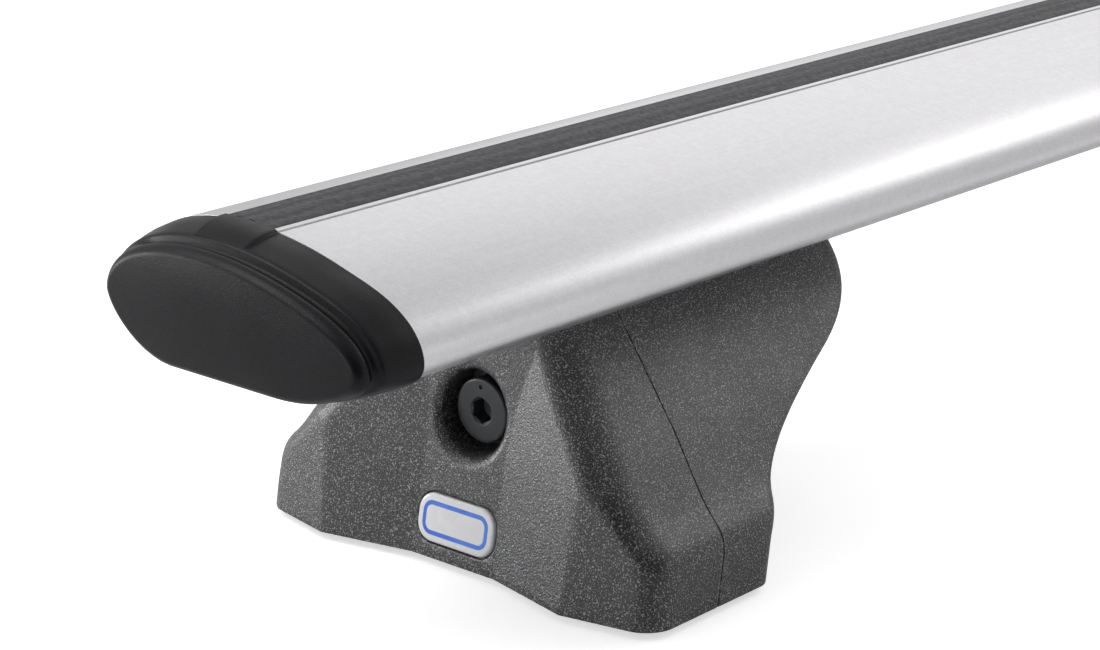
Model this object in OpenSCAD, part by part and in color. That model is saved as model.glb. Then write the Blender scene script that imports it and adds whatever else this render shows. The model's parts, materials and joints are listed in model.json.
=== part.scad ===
// Roof rack crossbar: an extruded aerofoil bar on two covered feet.
// X runs across the bar, Y along it, Z up. The roof pads stand on Z = 0.

/* [Bar] */
// Length of the extruded profile between its end caps
profile_l = 1047; // [800:1:1400]
// Blunt leading nose, measured from the bar's middle line
lead_x = 42.3; // [38:0.1:48]
// Sharp trailing nose, measured from the bar's middle line
trail_x = 42; // [38:0.1:48]
// Height of the crown over the nose line
crown_h = 22.4; // [20:0.1:27]
// Depth of the flat underside below the nose line
belly_h = 9.5; // [8.5:0.1:12]
// Where the crown is highest
crown_x = -11; // [-13:0.1:-9]
// Leading end of the flat underside
flat_lead_x = -20; // [-23:0.1:-17]
// Trailing end of the flat underside
flat_trail_x = 13; // [12.5:0.1:16]
// Wall of the extrusion
wall = 2.1; // [1.6:0.05:2.6]

/* [Top slot] */
// Middle of the slot and of its rubber strip
slot_x = -9.4; // [-10.5:0.1:-7]
// Width of the shallow recess that the strip lies in
recess_w = 14.6; // [13:0.1:17]
// Depth of that recess under the crown
recess_d = 1.9; // [1.5:0.05:2.4]
// Width of the rib beside the recess
rib_w = 1.35; // [1:0.05:2]
// Width of the seam outside the rib
seam_w = 1; // [0.5:0.1:1.4]
// Width of the slot's mouth
mouth_w = 10.6; // [8:0.1:12]
// Thickness of the lips beside the mouth
lip_t = 2.2; // [1.8:0.1:2.6]
// Width of the chamber under the lips
chamber_w = 20.6; // [18:0.1:22]
// Height of the chamber
chamber_h = 6.6; // [6:0.1:7.2]

/* [Lower channel] */
// Width of the channel's mouth
channel_mouth_w = 11; // [9:0.1:13]
// Thickness of the lips that carry the nut
channel_lip_t = 2.6; // [2.2:0.1:3]
// Width of the channel
channel_w = 21; // [19:0.1:22.5]
// Height of the channel over its lips
channel_h = 7.4; // [7:0.1:7.8]

/* [Strip] */
// Clearance on each side of the strip in its recess
strip_gap = 0.2; // [0.1:0.05:0.4]
// How far the strip stands over the aluminium
strip_proud = 0.7; // [0.3:0.1:1.2]
// Thickness of each of the strip's legs
strip_leg_t = 2; // [1.5:0.1:2.6]
// Reach of the barb under each lip
strip_barb = 0.9; // [0.5:0.1:1.4]

/* [End caps] */
// Length of a cap from the profile to its face
cap_l = 16.5; // [13:0.1:22]
// Bulge of the cap's face
cap_dome = 1.2; // [0.5:0.1:2]
// How far the collar stands over the noses of the profile
cap_proud = 0.8; // [0.4:0.1:1.2]
// How far the collar stands over the flat underside
cap_under = 0.4; // [0.2:0.05:0.5]
// Width of the groove behind the face
cap_groove_w = 2.8; // [2:0.1:3.4]
// Depth of that groove
cap_groove_d = 1.5; // [0.8:0.1:2]
// Length of the tongues inside the profile
cap_plug_l = 26; // [15:1:40]
// Clearance round the tongues
cap_plug_gap = 0.25; // [0.15:0.05:0.5]

/* [Foot] */
// Distance from the profile's end to the covers' joint at the roof
foot_inset = 73.8; // [65:0.1:120]
// Height from the covers' lower edge to the bar's underside
foot_h = 60.8; // [58:0.1:68]
// Height of the covers' lower edge over the roof
ground_gap = 1.7; // [1.2:0.1:2.5]
// Lean of the foot: run along the bar for each unit of height
lean = 0.187; // [0.12:0.001:0.22]
// Half width of the foot at the roof
base_half = 62.4; // [60:0.1:66]
// Half width of the foot under the bar
top_half = 22.3; // [22:0.1:24]
// Height of the upright skirt
skirt_h = 15.6; // [13:0.1:18]
// Distance from the joint out to the middle panel
panel_y = 21.9; // [20.5:0.1:24]
// Half width of the middle panel
panel_half = 12.5; // [12:0.1:14]
// Extra half width of the middle panel at its top
panel_flare = 8; // [5:0.1:9]
// Slope of the wings beside the middle panel, in plan
wing_slope = 0.225; // [0.15:0.005:0.26]
// Where the toe's crease meets the roof edge
toe_x = 38.3; // [35:0.1:42]
// Height at which the toe runs out
toe_h = 28; // [24:0.1:34]
// Slope of the toe's facet, in plan
toe_slope = 0.2; // [0.1:0.005:0.3]
// Corner radius at the roof edge
corner_r = 8; // [5:0.1:9]
// Radius of the toe's crease at the roof edge
toe_r = 2; // [1:0.1:4]
// Extra corner radius halfway up
corner_swell = 2; // [0:0.1:3]
// Distance from the joint to the inboard face of the skirt
heel_y = 21; // [20:0.1:24]
// Distance from the joint to the inboard nose under the bar
nose_y = 85.5; // [80:0.1:92]
// Drop from the bar's underside to the turning point of the inboard face
sweep_drop = 20.7; // [19:0.1:23]
// Radius of the inboard edges
heel_r = 5; // [3.5:0.1:6]
// Wall of the covers
shell = 2.6; // [2.2:0.1:3]
// Gap between the covers and the bar
bar_gap = 0.8; // [0.7:0.05:1.2]
// Gap between the two covers at their joint
joint_gap = 0.3; // [0.2:0.05:0.5]

/* [Screw recess] */
// Drop from the bar's underside to the middle of the security screw
screw_drop = 25.1; // [23:0.1:27]
// Diameter of the recess round the screw's head
recess_dia = 20.4; // [19:0.1:22]
// Width of the rounded rim of the recess
recess_rim = 1.6; // [1:0.1:2]
// Depth from the middle panel to the screw's disc, on its axis
disc_depth = 3.9; // [3:0.1:4.5]
// Diameter of the disc
disc_dia = 15.8; // [14:0.1:17]
// Thickness of the disc
disc_t = 6.4; // [6:0.1:7]
// Width across flats of the key socket
key_af = 5.6; // [5.5:0.1:6]
// Depth of the key socket
key_depth = 5; // [4.6:0.1:6]
// Diameter of the screw's shank
shank_dia = 6; // [5:0.1:6.5]
// Length of the shank behind the disc
shank_l = 20; // [16:0.1:24]

/* [Badge] */
// Width of the badge
badge_w = 24.2; // [20:0.1:24.4]
// Height of the badge along the leaning panel
badge_h = 11.8; // [10:0.1:13]
// Corner radius of the badge
badge_r = 4.6; // [3:0.1:5]
// Thickness of the badge
badge_t = 1.5; // [1:0.1:2]
// How far the badge stands out of its pocket
badge_proud = 0.6; // [0.2:0.1:0.8]
// Height of the badge's middle over the covers' lower edge
badge_z = 9.8; // [9:0.1:12]
// Gap round the badge in its pocket
badge_gap = 0.5; // [0.3:0.05:0.8]

/* [Inside the foot] */
// Thickness of the rubber roof pad
pad_t = 4; // [3:0.1:5]
// Half length of the roof pad, across the bar
pad_half_x = 52; // [46:0.1:54]
// Half width of the roof pad, along the bar
pad_half_y = 15.5; // [13:0.1:16]
// Thickness of the steel base plate
plate_t = 3; // [2.5:0.1:4]
// Margin of the base plate inside the pad
plate_margin = 2; // [1:0.1:4]
// Diameter of the bore for the roof's fixed stud
stud_bore = 8.5; // [6.5:0.1:10.5]
// Thickness of the bracket's foot flange
flange_t = 5; // [4:0.1:6]
// Thickness of the bracket's saddle under the bar
saddle_t = 6; // [5:0.1:7]
// Half width of the saddle
saddle_half = 17; // [15:0.1:17.5]
// Distance between the bracket's two cheeks, to their middles
cheek_pitch = 31; // [30.5:0.1:32]
// Thickness of each cheek
cheek_t = 4; // [3:0.1:4.4]
// Diameter of the clamp bolts
clamp_dia = 6; // [5:0.1:6.5]
// Distance of the outboard clamp bolt from the joint
clamp_y = 12; // [10:0.1:14]
// Distance between the two clamp bolts
clamp_pitch = 56; // [45:0.1:60]
// Thickness of the channel nut
nut_t = 5; // [4:0.1:5.5]
// Running gap of the nut and the saddle on the bar
slide_gap = 0.1; // [0.05:0.01:0.15]

/* [Hidden] */

alu = "#dedce0";
rubber = "#4c4a52";
cap_black = "#34343a";
cover_grey = "#56565a";
screw_black = "#3a3c42";
steel = "#a9abb0";
cast_grey = "#8d9096";
brass = "#b89a55";
badge_white = "#f2f2f4";

round_fn = 48;
eps = 0.01;
through = 1;

// Heights over the roof
belly_z = ground_gap + foot_h;
nose_z = belly_z + belly_h;
cover_top = foot_h - bar_gap;
screw_h = foot_h - screw_drop;

// Fits
thread_gap = 0.05;
bolt_clear = 0.3;
face_gap = 0.3;

// Points on a cubic curve, without its last point
function curve(a, b, c, d, n) = [
  for (i = [0 : n - 1])
    let (t = i / n, u = 1 - t)
      u * u * u * a + 3 * u * u * t * b + 3 * u * t * t * c + t * t * t * d
];

// Outline of the aerofoil section, from the flat underside round the leading nose.
// The curves' other points are shares of the bar's reach and height
lead_nose_h = 7;
trail_nose_h = 1.5;
belly_reach = 11;
crown_reach = 19;
shoulder = [0.8929, 0.4196];
chin = [0.881, 0.3947];
function over(a, b) = [a * (a < 0 ? lead_x : trail_x), b * crown_h];
function under(a, b) = [a * (a < 0 ? lead_x : trail_x), -b * belly_h];
bar_outline = concat(
  curve([flat_lead_x, -belly_h], [flat_lead_x - belly_reach, -belly_h], over(-0.9811, 0.0223),
    [-lead_x, lead_nose_h], 9),
  curve([-lead_x, lead_nose_h], over(-1, 0.6696), over(-0.7565, 0.9955), [crown_x, crown_h], 9),
  curve([crown_x, crown_h], [crown_x + crown_reach, crown_h], over(0.7143, 0.692),
    over(shoulder.x, shoulder.y), 9),
  curve(over(shoulder.x, shoulder.y), over(0.9571, 0.3214), over(1, 0.1875), [trail_x, trail_nose_h], 5),
  curve([trail_x, trail_nose_h], under(1, 0.1263), under(0.9405, 0.2737), under(chin.x, chin.y), 5),
  curve(under(chin.x, chin.y), under(0.7143, 0.7368), [flat_trail_x + belly_reach, -belly_h],
    [flat_trail_x, -belly_h], 6),
  [[flat_trail_x, -belly_h]]
);

// Moves every point of a closed outline outwards by d
function grown(p, d) = [
  for (i = [0 : len(p) - 1])
    let (
      a = p[(i + len(p) - 1) % len(p)],
      b = p[(i + 1) % len(p)],
      t = (b - a) / norm(b - a)
    )
      p[i] + d * [-t.y, t.x]
];

// Heights inside the section
recess_z = crown_h - recess_d;
lip_z = recess_z - lip_t;
seam_x = slot_x + recess_w / 2 + rib_w;
chamber_z = lip_z - chamber_h;
channel_lip_z = -belly_h + channel_lip_t;
channel_top_z = channel_lip_z + channel_h;

module box_2d(x0, x1, z0, z1) {
  translate([x0, z0]) square([x1 - x0, z1 - z0]);
}

module along_bar(l) {
  rotate([90, 0, 0]) linear_extrude(height = l, center = true) children();
}

// Slot and channel that are open to the outside
module bar_slots() {
  box_2d(slot_x - recess_w / 2, slot_x + recess_w / 2, recess_z, crown_h + through);
  box_2d(seam_x, seam_x + seam_w, recess_z, crown_h + through);
  box_2d(slot_x - mouth_w / 2, slot_x + mouth_w / 2, lip_z - eps, recess_z + eps);
  box_2d(slot_x - chamber_w / 2, slot_x + chamber_w / 2, chamber_z, lip_z);
  box_2d(-channel_w / 2, channel_w / 2, channel_lip_z, channel_top_z);
  box_2d(-channel_mouth_w / 2, channel_mouth_w / 2, -belly_h - through, channel_lip_z + eps);
}

// Walls round the slot and the channel, with the web between them
module bar_core() {
  box_2d(slot_x - chamber_w / 2 - wall, slot_x + chamber_w / 2 + wall, chamber_z - wall, crown_h);
  box_2d(-channel_w / 2 - wall, channel_w / 2 + wall, -belly_h, channel_top_z + wall);
  box_2d(slot_x - wall / 2, slot_x + wall / 2, channel_top_z, chamber_z);
}

// Hollow cell on one side of the core: -1 leading, 1 trailing
module bar_cell(side, gap) {
  reach = side < 0 ? lead_x : trail_x;
  slot_side = abs(slot_x + side * (chamber_w / 2 + wall));
  inner = max(slot_side, channel_w / 2 + wall) + gap;
  intersection() {
    polygon(grown(bar_outline, -wall - gap));
    box_2d(side < 0 ? -reach : inner, side < 0 ? -inner : reach, -belly_h, crown_h);
  }
}

module crossbar_profile() {
  color(alu) translate([0, 0, nose_z]) along_bar(profile_l)
    difference() {
      polygon(bar_outline);
      difference() {
        polygon(grown(bar_outline, -wall));
        bar_core();
      }
      bar_slots();
    }
}

// Rubber strip: a cambered top, two legs and their barbs
module slot_strip() {
  half = recess_w / 2 - strip_gap;
  leg = mouth_w / 2 - strip_gap;
  top = crown_h + strip_proud;
  rib = 0.35;
  color(rubber) translate([slot_x, 0, nose_z]) along_bar(profile_l)
    difference() {
      polygon([
        [-half, recess_z], [-half, top - 0.6], [-half + 0.6, top],
        [-half * 0.45, top + 0.1], [-half * 0.4, top + 0.1 - rib], [-half * 0.3, top + 0.1 - rib],
        [-half * 0.25, top + 0.1],
        [half * 0.25, top], [half * 0.3, top - rib], [half * 0.4, top - rib], [half * 0.45, top],
        [half - 0.6, top - 0.7], [half, top - 1.3], [half, recess_z],
        [leg, recess_z], [leg, lip_z - face_gap], [leg + strip_barb, lip_z - face_gap],
        [leg - 0.4, lip_z - 2], [leg - strip_leg_t, lip_z - 2], [leg - strip_leg_t, recess_z - 0.4],
        [-leg + strip_leg_t, recess_z - 0.4], [-leg + strip_leg_t, lip_z - 2], [-leg + 0.4, lip_z - 2],
        [-leg - strip_barb, lip_z - face_gap], [-leg, lip_z - face_gap], [-leg, recess_z]
      ]);
    }
}

// Solid through rings of equal length, first ring to last
module loft(rings) {
  n = len(rings[0]);
  last = len(rings) - 1;
  points = [for (r = rings, p = r) p];
  sides = [
    for (k = [0 : last - 1], i = [0 : n - 1])
      let (j = (i + 1) % n, a = k * n + i, b = k * n + j, c = a + n, d = b + n)
        each [[a, b, d], [a, d, c]]
  ];
  first_face = [for (i = [n - 1 : -1 : 0]) i];
  last_face = [for (i = [0 : n - 1]) last * n + i];
  polyhedron(points, concat([first_face], sides, [last_face]), convexity = 8);
}

// End cap rings: y is the distance from the profile, s how far the outline has turned into the face's
cap_face_at = [0.5, -0.58];
cap_face_scale = [0.938, 0.865];
cap_centre = [0.5, 5];
function ramp(v, low, high) = let (t = min(1, max(0, (v - low) / (high - low)))) t * t * (3 - 2 * t);
function collar_at(p) = p.y < -belly_h + 0.4 ? cap_under : cap_proud * (1 - ramp(p.y / crown_h, 0.536, 0.848));
function groove_at(p) =
  (p.y > 0.09 * crown_h ? 1 : ramp(p.x / trail_x, 0.81, 0.976)) * ramp(p.x / lead_x, -0.898, -0.662);
function cap_point(p, n, s, inset) =
  let (
    q = p + n * collar_at(p) * (1 - s),
    f = [cap_face_at.x + q.x * cap_face_scale.x, cap_face_at.y + q.y * cap_face_scale.y]
  )
    q + s * (f - q) - n * inset;
function cap_ring(s, inset, groove, y) =
  let (out = grown(bar_outline, 1))
    [
      for (i = [0 : len(bar_outline) - 1])
        let (p = bar_outline[i], m = cap_point(p, out[i] - p, s, inset + groove * groove_at(p)))
          [m.x, -y, m.y]
    ];
function cap_face_ring(inset, k, y) = [
  for (q = cap_ring(1, inset, 0, y))
    [cap_centre.x + k * (q.x - cap_centre.x), q.y, cap_centre.y + k * (q.z - cap_centre.y)]
];

// Raised pad that carries the strip's line over the cap, as far as the seam
pad_steps = 5;
function cap_pad_ring(y, s, h) =
  let (far = slot_x - recess_w / 2 + strip_gap, near = seam_x + seam_w)
    [
      for (q = [[far, -3], [far, h - 0.5], [far + 0.6, h], [near - 0.8, h - 0.7], [near, h - 1.3], [near, -4]])
        let (x = q.x, z = crown_h + q.y)
          [x + s * (cap_face_at.x + x * cap_face_scale.x - x), -y,
           z + s * (cap_face_at.y + z * cap_face_scale.y - z)]
    ];

module end_cap() {
  groove_y = cap_l - 3.6 - cap_groove_w;
  rings = [
    cap_ring(0, 0, 0, 0),
    cap_ring(0.1, 0, 0, groove_y * 0.35),
    cap_ring(0.35, 0, 0, groove_y * 0.75),
    cap_ring(0.5, 0, 0, groove_y),
    cap_ring(0.55, 0, cap_groove_d, groove_y + 0.6),
    cap_ring(0.75, 0, cap_groove_d, groove_y + cap_groove_w - 0.5),
    cap_ring(0.82, 0, 0.4, groove_y + cap_groove_w),
    cap_ring(0.9, 0, 0, groove_y + cap_groove_w + 0.8),
    cap_ring(1, 0.1, 0, cap_l - 1.3),
    cap_ring(1, 0.5, 0, cap_l - 0.5),
    cap_ring(1, 1.2, 0, cap_l - 0.1),
    cap_face_ring(1.2, 0.93, cap_l + cap_dome * 0.15),
    cap_face_ring(1.2, 0.75, cap_l + cap_dome * 0.55),
    cap_face_ring(1.2, 0.45, cap_l + cap_dome * 0.9)
  ];
  color(cap_black) union() {
    loft(rings);
    loft([for (i = [0 : pad_steps])
      let (t = i / pad_steps)
        cap_pad_ring(t * groove_y, 0.5 * t * t, strip_proud * (1 - t * t * t))
    ]);
    translate([0, cap_plug_l / 2, 0]) along_bar(cap_plug_l) {
      bar_cell(-1, cap_plug_gap);
      bar_cell(1, cap_plug_gap);
    }
  }
}

// Foot outline, in a frame that leans with the foot. z is the height over the covers' lower edge
function smooth_min(a, b, k) =
  let (h = max(k - abs(a - b), 0) / k)
    min(a, b) - h * h * k / 4;
function side_x(z) =
  smooth_min(
    base_half - 0.02 * z,
    top_half + (cover_top - z) * (base_half - top_half - 0.3) / (cover_top - skirt_h),
    4.4
  );
function crease_x(z) = panel_half + panel_flare * pow(max(0, (z - 25) / (cover_top - 25)), 2)
  + 0.03 * max(0, 25 - z);
function corner_radius(z) = corner_r + corner_swell * (ramp(z, 4, 20) - ramp(z, cover_top - 16, cover_top));
function toe_at(z) = toe_x + 2 * z / toe_h;
function hermite(t, a, ma, b, mb) =
  (2 * t * t * t - 3 * t * t + 1) * a + (t * t * t - 2 * t * t + t) * ma
  + (3 * t * t - 2 * t * t * t) * b + (t * t * t - t * t) * mb;
sweep_foot = 10.5;
sweep_h = foot_h - sweep_drop;
sweep_top = cover_top - 1.6;
sweep_slope = 2.84;
sweep_y = heel_y + 0.668 * (nose_y - heel_y);
function heel_at(z) =
  z < sweep_foot ? heel_y
  : z < sweep_h ?
    hermite((z - sweep_foot) / (sweep_h - sweep_foot), heel_y, 0,
      sweep_y, sweep_slope * (sweep_h - sweep_foot))
  : hermite(min(1, (z - sweep_h) / (sweep_top - sweep_h)), sweep_y, sweep_slope * (sweep_top - sweep_h),
      nose_y, 0);

// Wall measured level that gives the shell its thickness on a sloping face
function level_wall(w, slope) = w * sqrt(1 + slope * slope);
function side_slope(z) = side_x(z) - side_x(z + 1);
function heel_slope(z) = heel_at(z + 0.5) - heel_at(z - 0.5);

function placed(p, z) = [p.x, p.y + lean * z, z];
function mirrored_list(half) = concat(half, [for (i = [len(half) - 1 : -1 : 0]) [-half[i].x, half[i].y]]);

// Where two lines meet, each y = c + m x
function meet(c0, m0, c1, m1) = let (x = (c1 - c0) / (m0 - m1)) [x, c0 + m0 * x];
function raised(c, m, d) = c + d * sqrt(1 + m * m);
function arc(centre, r, a0, a1, n) = [
  for (i = [0 : n]) let (a = a0 + (a1 - a0) * i / n) centre + r * [cos(a), sin(a)]
];

// Outer cover: w is the inset of the ring, back is where it ends past the joint
corner_steps = 6;
toe_round_h = 24;
function toe_radius(z) = toe_r + (corner_radius(z) - toe_r) * min(1, max(0, z / toe_round_h));
function outer_half(z, w, back) =
  let (
    side = side_x(z),
    r0 = corner_radius(z),
    s = side - level_wall(w, side_slope(z)),
    r = max(r0 - w, 1.2),
    ra = max(toe_radius(z) - w, 1),
    turn = asin(min(1, max(0, (side - r0 - crease_x(z)) / r0))),
    wing_m = min(wing_slope, tan(min(turn, 45))),
    wing_a = -90 - atan(wing_m),
    c = min(crease_x(z), side - r0 * (1 + sin(atan(wing_m))) - 0.8),
    wing_c = raised(-panel_y + wing_m * c, wing_m, w),
    toe_c = raised(-panel_y - wing_m * (toe_at(z) - c) - toe_slope * toe_at(z), toe_slope, w),
    a0 = meet(raised(wing_c, wing_m, ra), -wing_m, raised(toe_c, toe_slope, ra), toe_slope),
    b0 = [s - r, raised(toe_c, toe_slope, r) + toe_slope * (s - r)],
    both = [s - r, raised(wing_c, wing_m, r) - wing_m * (s - r)],
    toe_a = -90 + atan(toe_slope),
    corner = a0.x > b0.x ?
      arc(both, r, 0, wing_a, corner_steps + 3)
      : concat(arc(b0, r, 0, toe_a, corner_steps), arc(a0, ra, toe_a, wing_a, 2))
  )
    concat([[s, back]], corner, [[min(c, corner[len(corner) - 1].x - 0.8), -panel_y + w]]);
function outer_ring(z, w, back) = [for (p = mirrored_list(outer_half(z, w, back))) placed(p, z)];

function inner_half(z, w, front) =
  let (
    s = side_x(z) - level_wall(w, side_slope(z)),
    r = max(heel_r - w, 1),
    heel = heel_at(z) - level_wall(w, heel_slope(z))
  )
    concat(
      [for (i = [0 : 5]) let (a = 90 - 90 * i / 5) [s - r + r * cos(a), heel - r + r * sin(a)]],
      [[s, front]]
    );
function inner_ring(z, w, front) = [
  for (p = let (h = inner_half(z, w, front)) concat([for (q = h) q], [for (i = [len(h) - 1 : -1 : 0]) [-h[i].x, h[i].y]]))
    placed(p, z)
];

ring_z = [0, 3, 6, 9, 11, 13, 15, 17, 19, 22, 26, 31, 36, 41, 46, 51, 55.5];
function heights(low, high) = concat([low], [for (z = ring_z) if (z > low + 1 && z < high - 1) z], [high]);

module outer_cover_form(w) {
  low = w > 0 ? -through : 0;
  high = w > 0 ? cover_top + through : cover_top;
  back = w > 0 ? through : -joint_gap / 2;
  loft([for (z = heights(low, high)) outer_ring(z, w, back)]);
}

module inner_cover_form(w) {
  low = w > 0 ? -through : 0;
  high = w > 0 ? cover_top + through : cover_top;
  front = w > 0 ? -through : joint_gap / 2;
  loft([for (z = heights(low, high)) inner_ring(z, w, front)]);
}

// Places along the security screw, in the foot's frame
panel_at_screw = -panel_y + lean * screw_h;
disc_front = panel_at_screw + disc_depth;
floor_front = disc_front + disc_t + face_gap;
floor_back = floor_front + 2;
clip_t = 1;
clip_front = floor_back + face_gap;
web_front = clip_front + clip_t + 0.7;

module along_screw(y0, y1, r0, r1) {
  translate([0, y0, screw_h]) rotate([-90, 0, 0])
    cylinder(h = y1 - y0, r1 = r0, r2 = r1, $fn = round_fn);
}

module badge_outline(w, h, r) {
  intersection() {
    square([w, h], center = true);
    union() {
      square([w - 2 * r, h], center = true);
      square([w, h - 2 * r], center = true);
      for (x = [-1, 1], y = [-1, 1])
        translate([x * (w / 2 - r), y * (h / 2 - r)]) circle(r, $fn = round_fn);
    }
  }
}

// Frame on the middle panel: its Z axis points out of the panel
module on_panel(z) {
  translate([0, -panel_y + lean * z, z]) rotate([90 - atan(lean), 0, 0]) children();
}

// Everything outside a plane d below the middle panel
module outside_panel(d) {
  reach = 60;
  on_panel(0) translate([-reach, -reach, -d]) cube([2 * reach, 3 * reach, reach]);
}

module outer_cover() {
  cup_r = recess_dia / 2 + 2;
  boss_t = badge_t + 1.6;
  color(cover_grey) difference() {
    union() {
      difference() {
        outer_cover_form(0);
        outer_cover_form(shell);
      }
      difference() {
        along_screw(panel_at_screw - 4, floor_back, cup_r, cup_r);
        outside_panel(0.5);
      }
      on_panel(badge_z) translate([0, 0, -boss_t])
        linear_extrude(height = boss_t - 0.5) badge_outline(badge_w + 4, badge_h + 4, badge_r + 2);
    }
    along_screw(panel_at_screw - 12, floor_front, recess_dia / 2, recess_dia / 2);
    on_panel(screw_h) translate([0, 0, -recess_rim])
      cylinder(h = 2 * recess_rim, r1 = recess_dia / 2, r2 = recess_dia / 2 + 2 * recess_rim, $fn = round_fn);
    along_screw(floor_front - through, floor_back + through, shank_dia / 2 + thread_gap, shank_dia / 2 + thread_gap);
    on_panel(badge_z) translate([0, 0, badge_proud - badge_t - face_gap])
      linear_extrude(height = badge_t + through)
        badge_outline(badge_w + 2 * badge_gap, badge_h + 2 * badge_gap, badge_r + badge_gap);
  }
}

module badge() {
  color(badge_white) on_panel(badge_z) translate([0, 0, badge_proud - badge_t]) {
    linear_extrude(height = badge_t - 0.4) badge_outline(badge_w, badge_h, badge_r);
    translate([0, 0, badge_t - 0.4])
      linear_extrude(height = 0.4) badge_outline(badge_w - 0.8, badge_h - 0.8, badge_r - 0.4);
  }
}

module security_screw() {
  dimple = 0.6;
  color(screw_black) difference() {
    union() {
      along_screw(disc_front, disc_front + 0.4, disc_dia / 2 - 0.4, disc_dia / 2);
      along_screw(disc_front + 0.4, disc_front + disc_t, disc_dia / 2, disc_dia / 2);
      along_screw(disc_front + disc_t, disc_front + disc_t + shank_l - 1, shank_dia / 2, shank_dia / 2);
      along_screw(disc_front + disc_t + shank_l - 1, disc_front + disc_t + shank_l, shank_dia / 2, shank_dia / 2 - 0.8);
    }
    translate([0, disc_front - eps, screw_h]) rotate([-90, 0, 0])
      cylinder(h = key_depth, r = key_af / 2 / cos(30), $fn = 6);
    along_screw(disc_front - eps, disc_front + 0.5, key_af / 2 / cos(30) + 0.3, key_af / 2 / cos(30) - 0.2);
    translate([0, disc_front - eps, screw_h + disc_dia / 2 - 2]) rotate([-90, 0, 0])
      cylinder(h = dimple, r = dimple, $fn = 24);
  }
}

module screw_clip() {
  color(steel) difference() {
    along_screw(clip_front, clip_front + clip_t, 5, 5);
    along_screw(clip_front - through, clip_front + clip_t + through, shank_dia / 2, shank_dia / 2);
  }
}

insert_r = 4.5;
insert_l = 11;
module screw_insert() {
  color(brass) difference() {
    union() {
      along_screw(web_front, web_front + insert_l, insert_r, insert_r);
      along_screw(web_front + insert_l, web_front + insert_l + 1, insert_r + 1, insert_r + 1);
    }
    along_screw(web_front - through, web_front + insert_l + 2, shank_dia / 2 + thread_gap, shank_dia / 2 + thread_gap);
  }
}

// Heights inside the foot, over the covers' lower edge
pad_top = pad_t - ground_gap;
plate_top = pad_top + plate_t;
flange_top = plate_top + flange_t;
saddle_top = foot_h - slide_gap;
saddle_low = saddle_top - saddle_t;
saddle_front = -panel_y + lean * cover_top + shell + 1.8;
saddle_back = nose_y + lean * cover_top - shell - 5;
web_t = 5;
rear_web_y = heel_y - shell - 5.5;

function inboard_limit(z) = heel_at(z) + lean * z - level_wall(shell, heel_slope(z)) - 2.5;

// One cheek of the bracket, seen from the side
module cheek_outline() {
  sweep = [for (z = [flange_top : 4 : saddle_low - 2]) [min(inboard_limit(z), saddle_back - 2), z]];
  polygon(concat(
    [[-pad_half_y + 3, plate_top], [pad_half_y - 3, plate_top], [pad_half_y - 2, flange_top]],
    [for (p = sweep) if (p.x > pad_half_y - 1) p],
    [[saddle_back - 2, saddle_low + through], [web_front, saddle_low + through], [web_front, flange_top + 12],
     [-pad_half_y + 3, flange_top]]
  ));
}

module foot_bracket() {
  boss_r = insert_r + 3.5;
  color(cast_grey) difference() {
    union() {
      for (side = [-1, 1])
        translate([side * cheek_pitch / 2 - cheek_t / 2, 0, 0])
          rotate([90, 0, 90]) linear_extrude(height = cheek_t) cheek_outline();
      translate([-saddle_half, saddle_front, saddle_low])
        cube([2 * saddle_half, saddle_back - saddle_front, saddle_t]);
      translate([-pad_half_x + 5, -pad_half_y + 3, plate_top])
        cube([2 * pad_half_x - 10, 2 * pad_half_y - 6, flange_t]);
      translate([-cheek_pitch / 2, web_front, flange_top + 12])
        cube([cheek_pitch, web_t, saddle_low - flange_top - 12 + through]);
      translate([-cheek_pitch / 2, rear_web_y, flange_top - through])
        cube([cheek_pitch, web_t, 20]);
      along_screw(web_front, web_front + insert_l, boss_r, boss_r);
    }
    along_screw(web_front - through, web_front + insert_l + through, insert_r, insert_r);
    translate([0, 0, plate_top - through]) cylinder(h = flange_t + 2 * through, r = stud_bore / 2 + 5, $fn = round_fn);
    for (y = [clamp_y, clamp_y + clamp_pitch])
      translate([0, y, saddle_low - through])
        cylinder(h = saddle_t + 2 * through, r = clamp_dia / 2 + bolt_clear, $fn = round_fn);
    for (p = plate_screw_at)
      translate([p.x, p.y, plate_top - through])
        cylinder(h = flange_t + 2 * through, r = plate_screw_r, $fn = round_fn);
    for (x = [-1, 1])
      translate([x * cover_screw_x, rear_web_y - through, cover_screw_z]) rotate([-90, 0, 0])
        cylinder(h = web_t + 2 * through, r = cover_screw_r + bolt_clear, $fn = round_fn);
  }
}

plate_screw_r = 2.5;
plate_screw_head_r = 4.6;
plate_screw_head_h = 2.1;
plate_screw_in = [13, 8];
plate_screw_at = [
  for (x = [-1, 1], y = [-1, 1]) [x * (pad_half_x - plate_screw_in.x), y * (pad_half_y - plate_screw_in.y)]
];
module plate_screws() {
  color(steel) for (p = plate_screw_at)
    translate([p.x, p.y, pad_top]) {
      cylinder(h = plate_screw_head_h, r1 = plate_screw_head_r, r2 = plate_screw_r, $fn = round_fn);
      translate([0, 0, plate_screw_head_h])
        cylinder(h = plate_t + flange_t - plate_screw_head_h, r = plate_screw_r, $fn = round_fn);
    }
}

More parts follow.
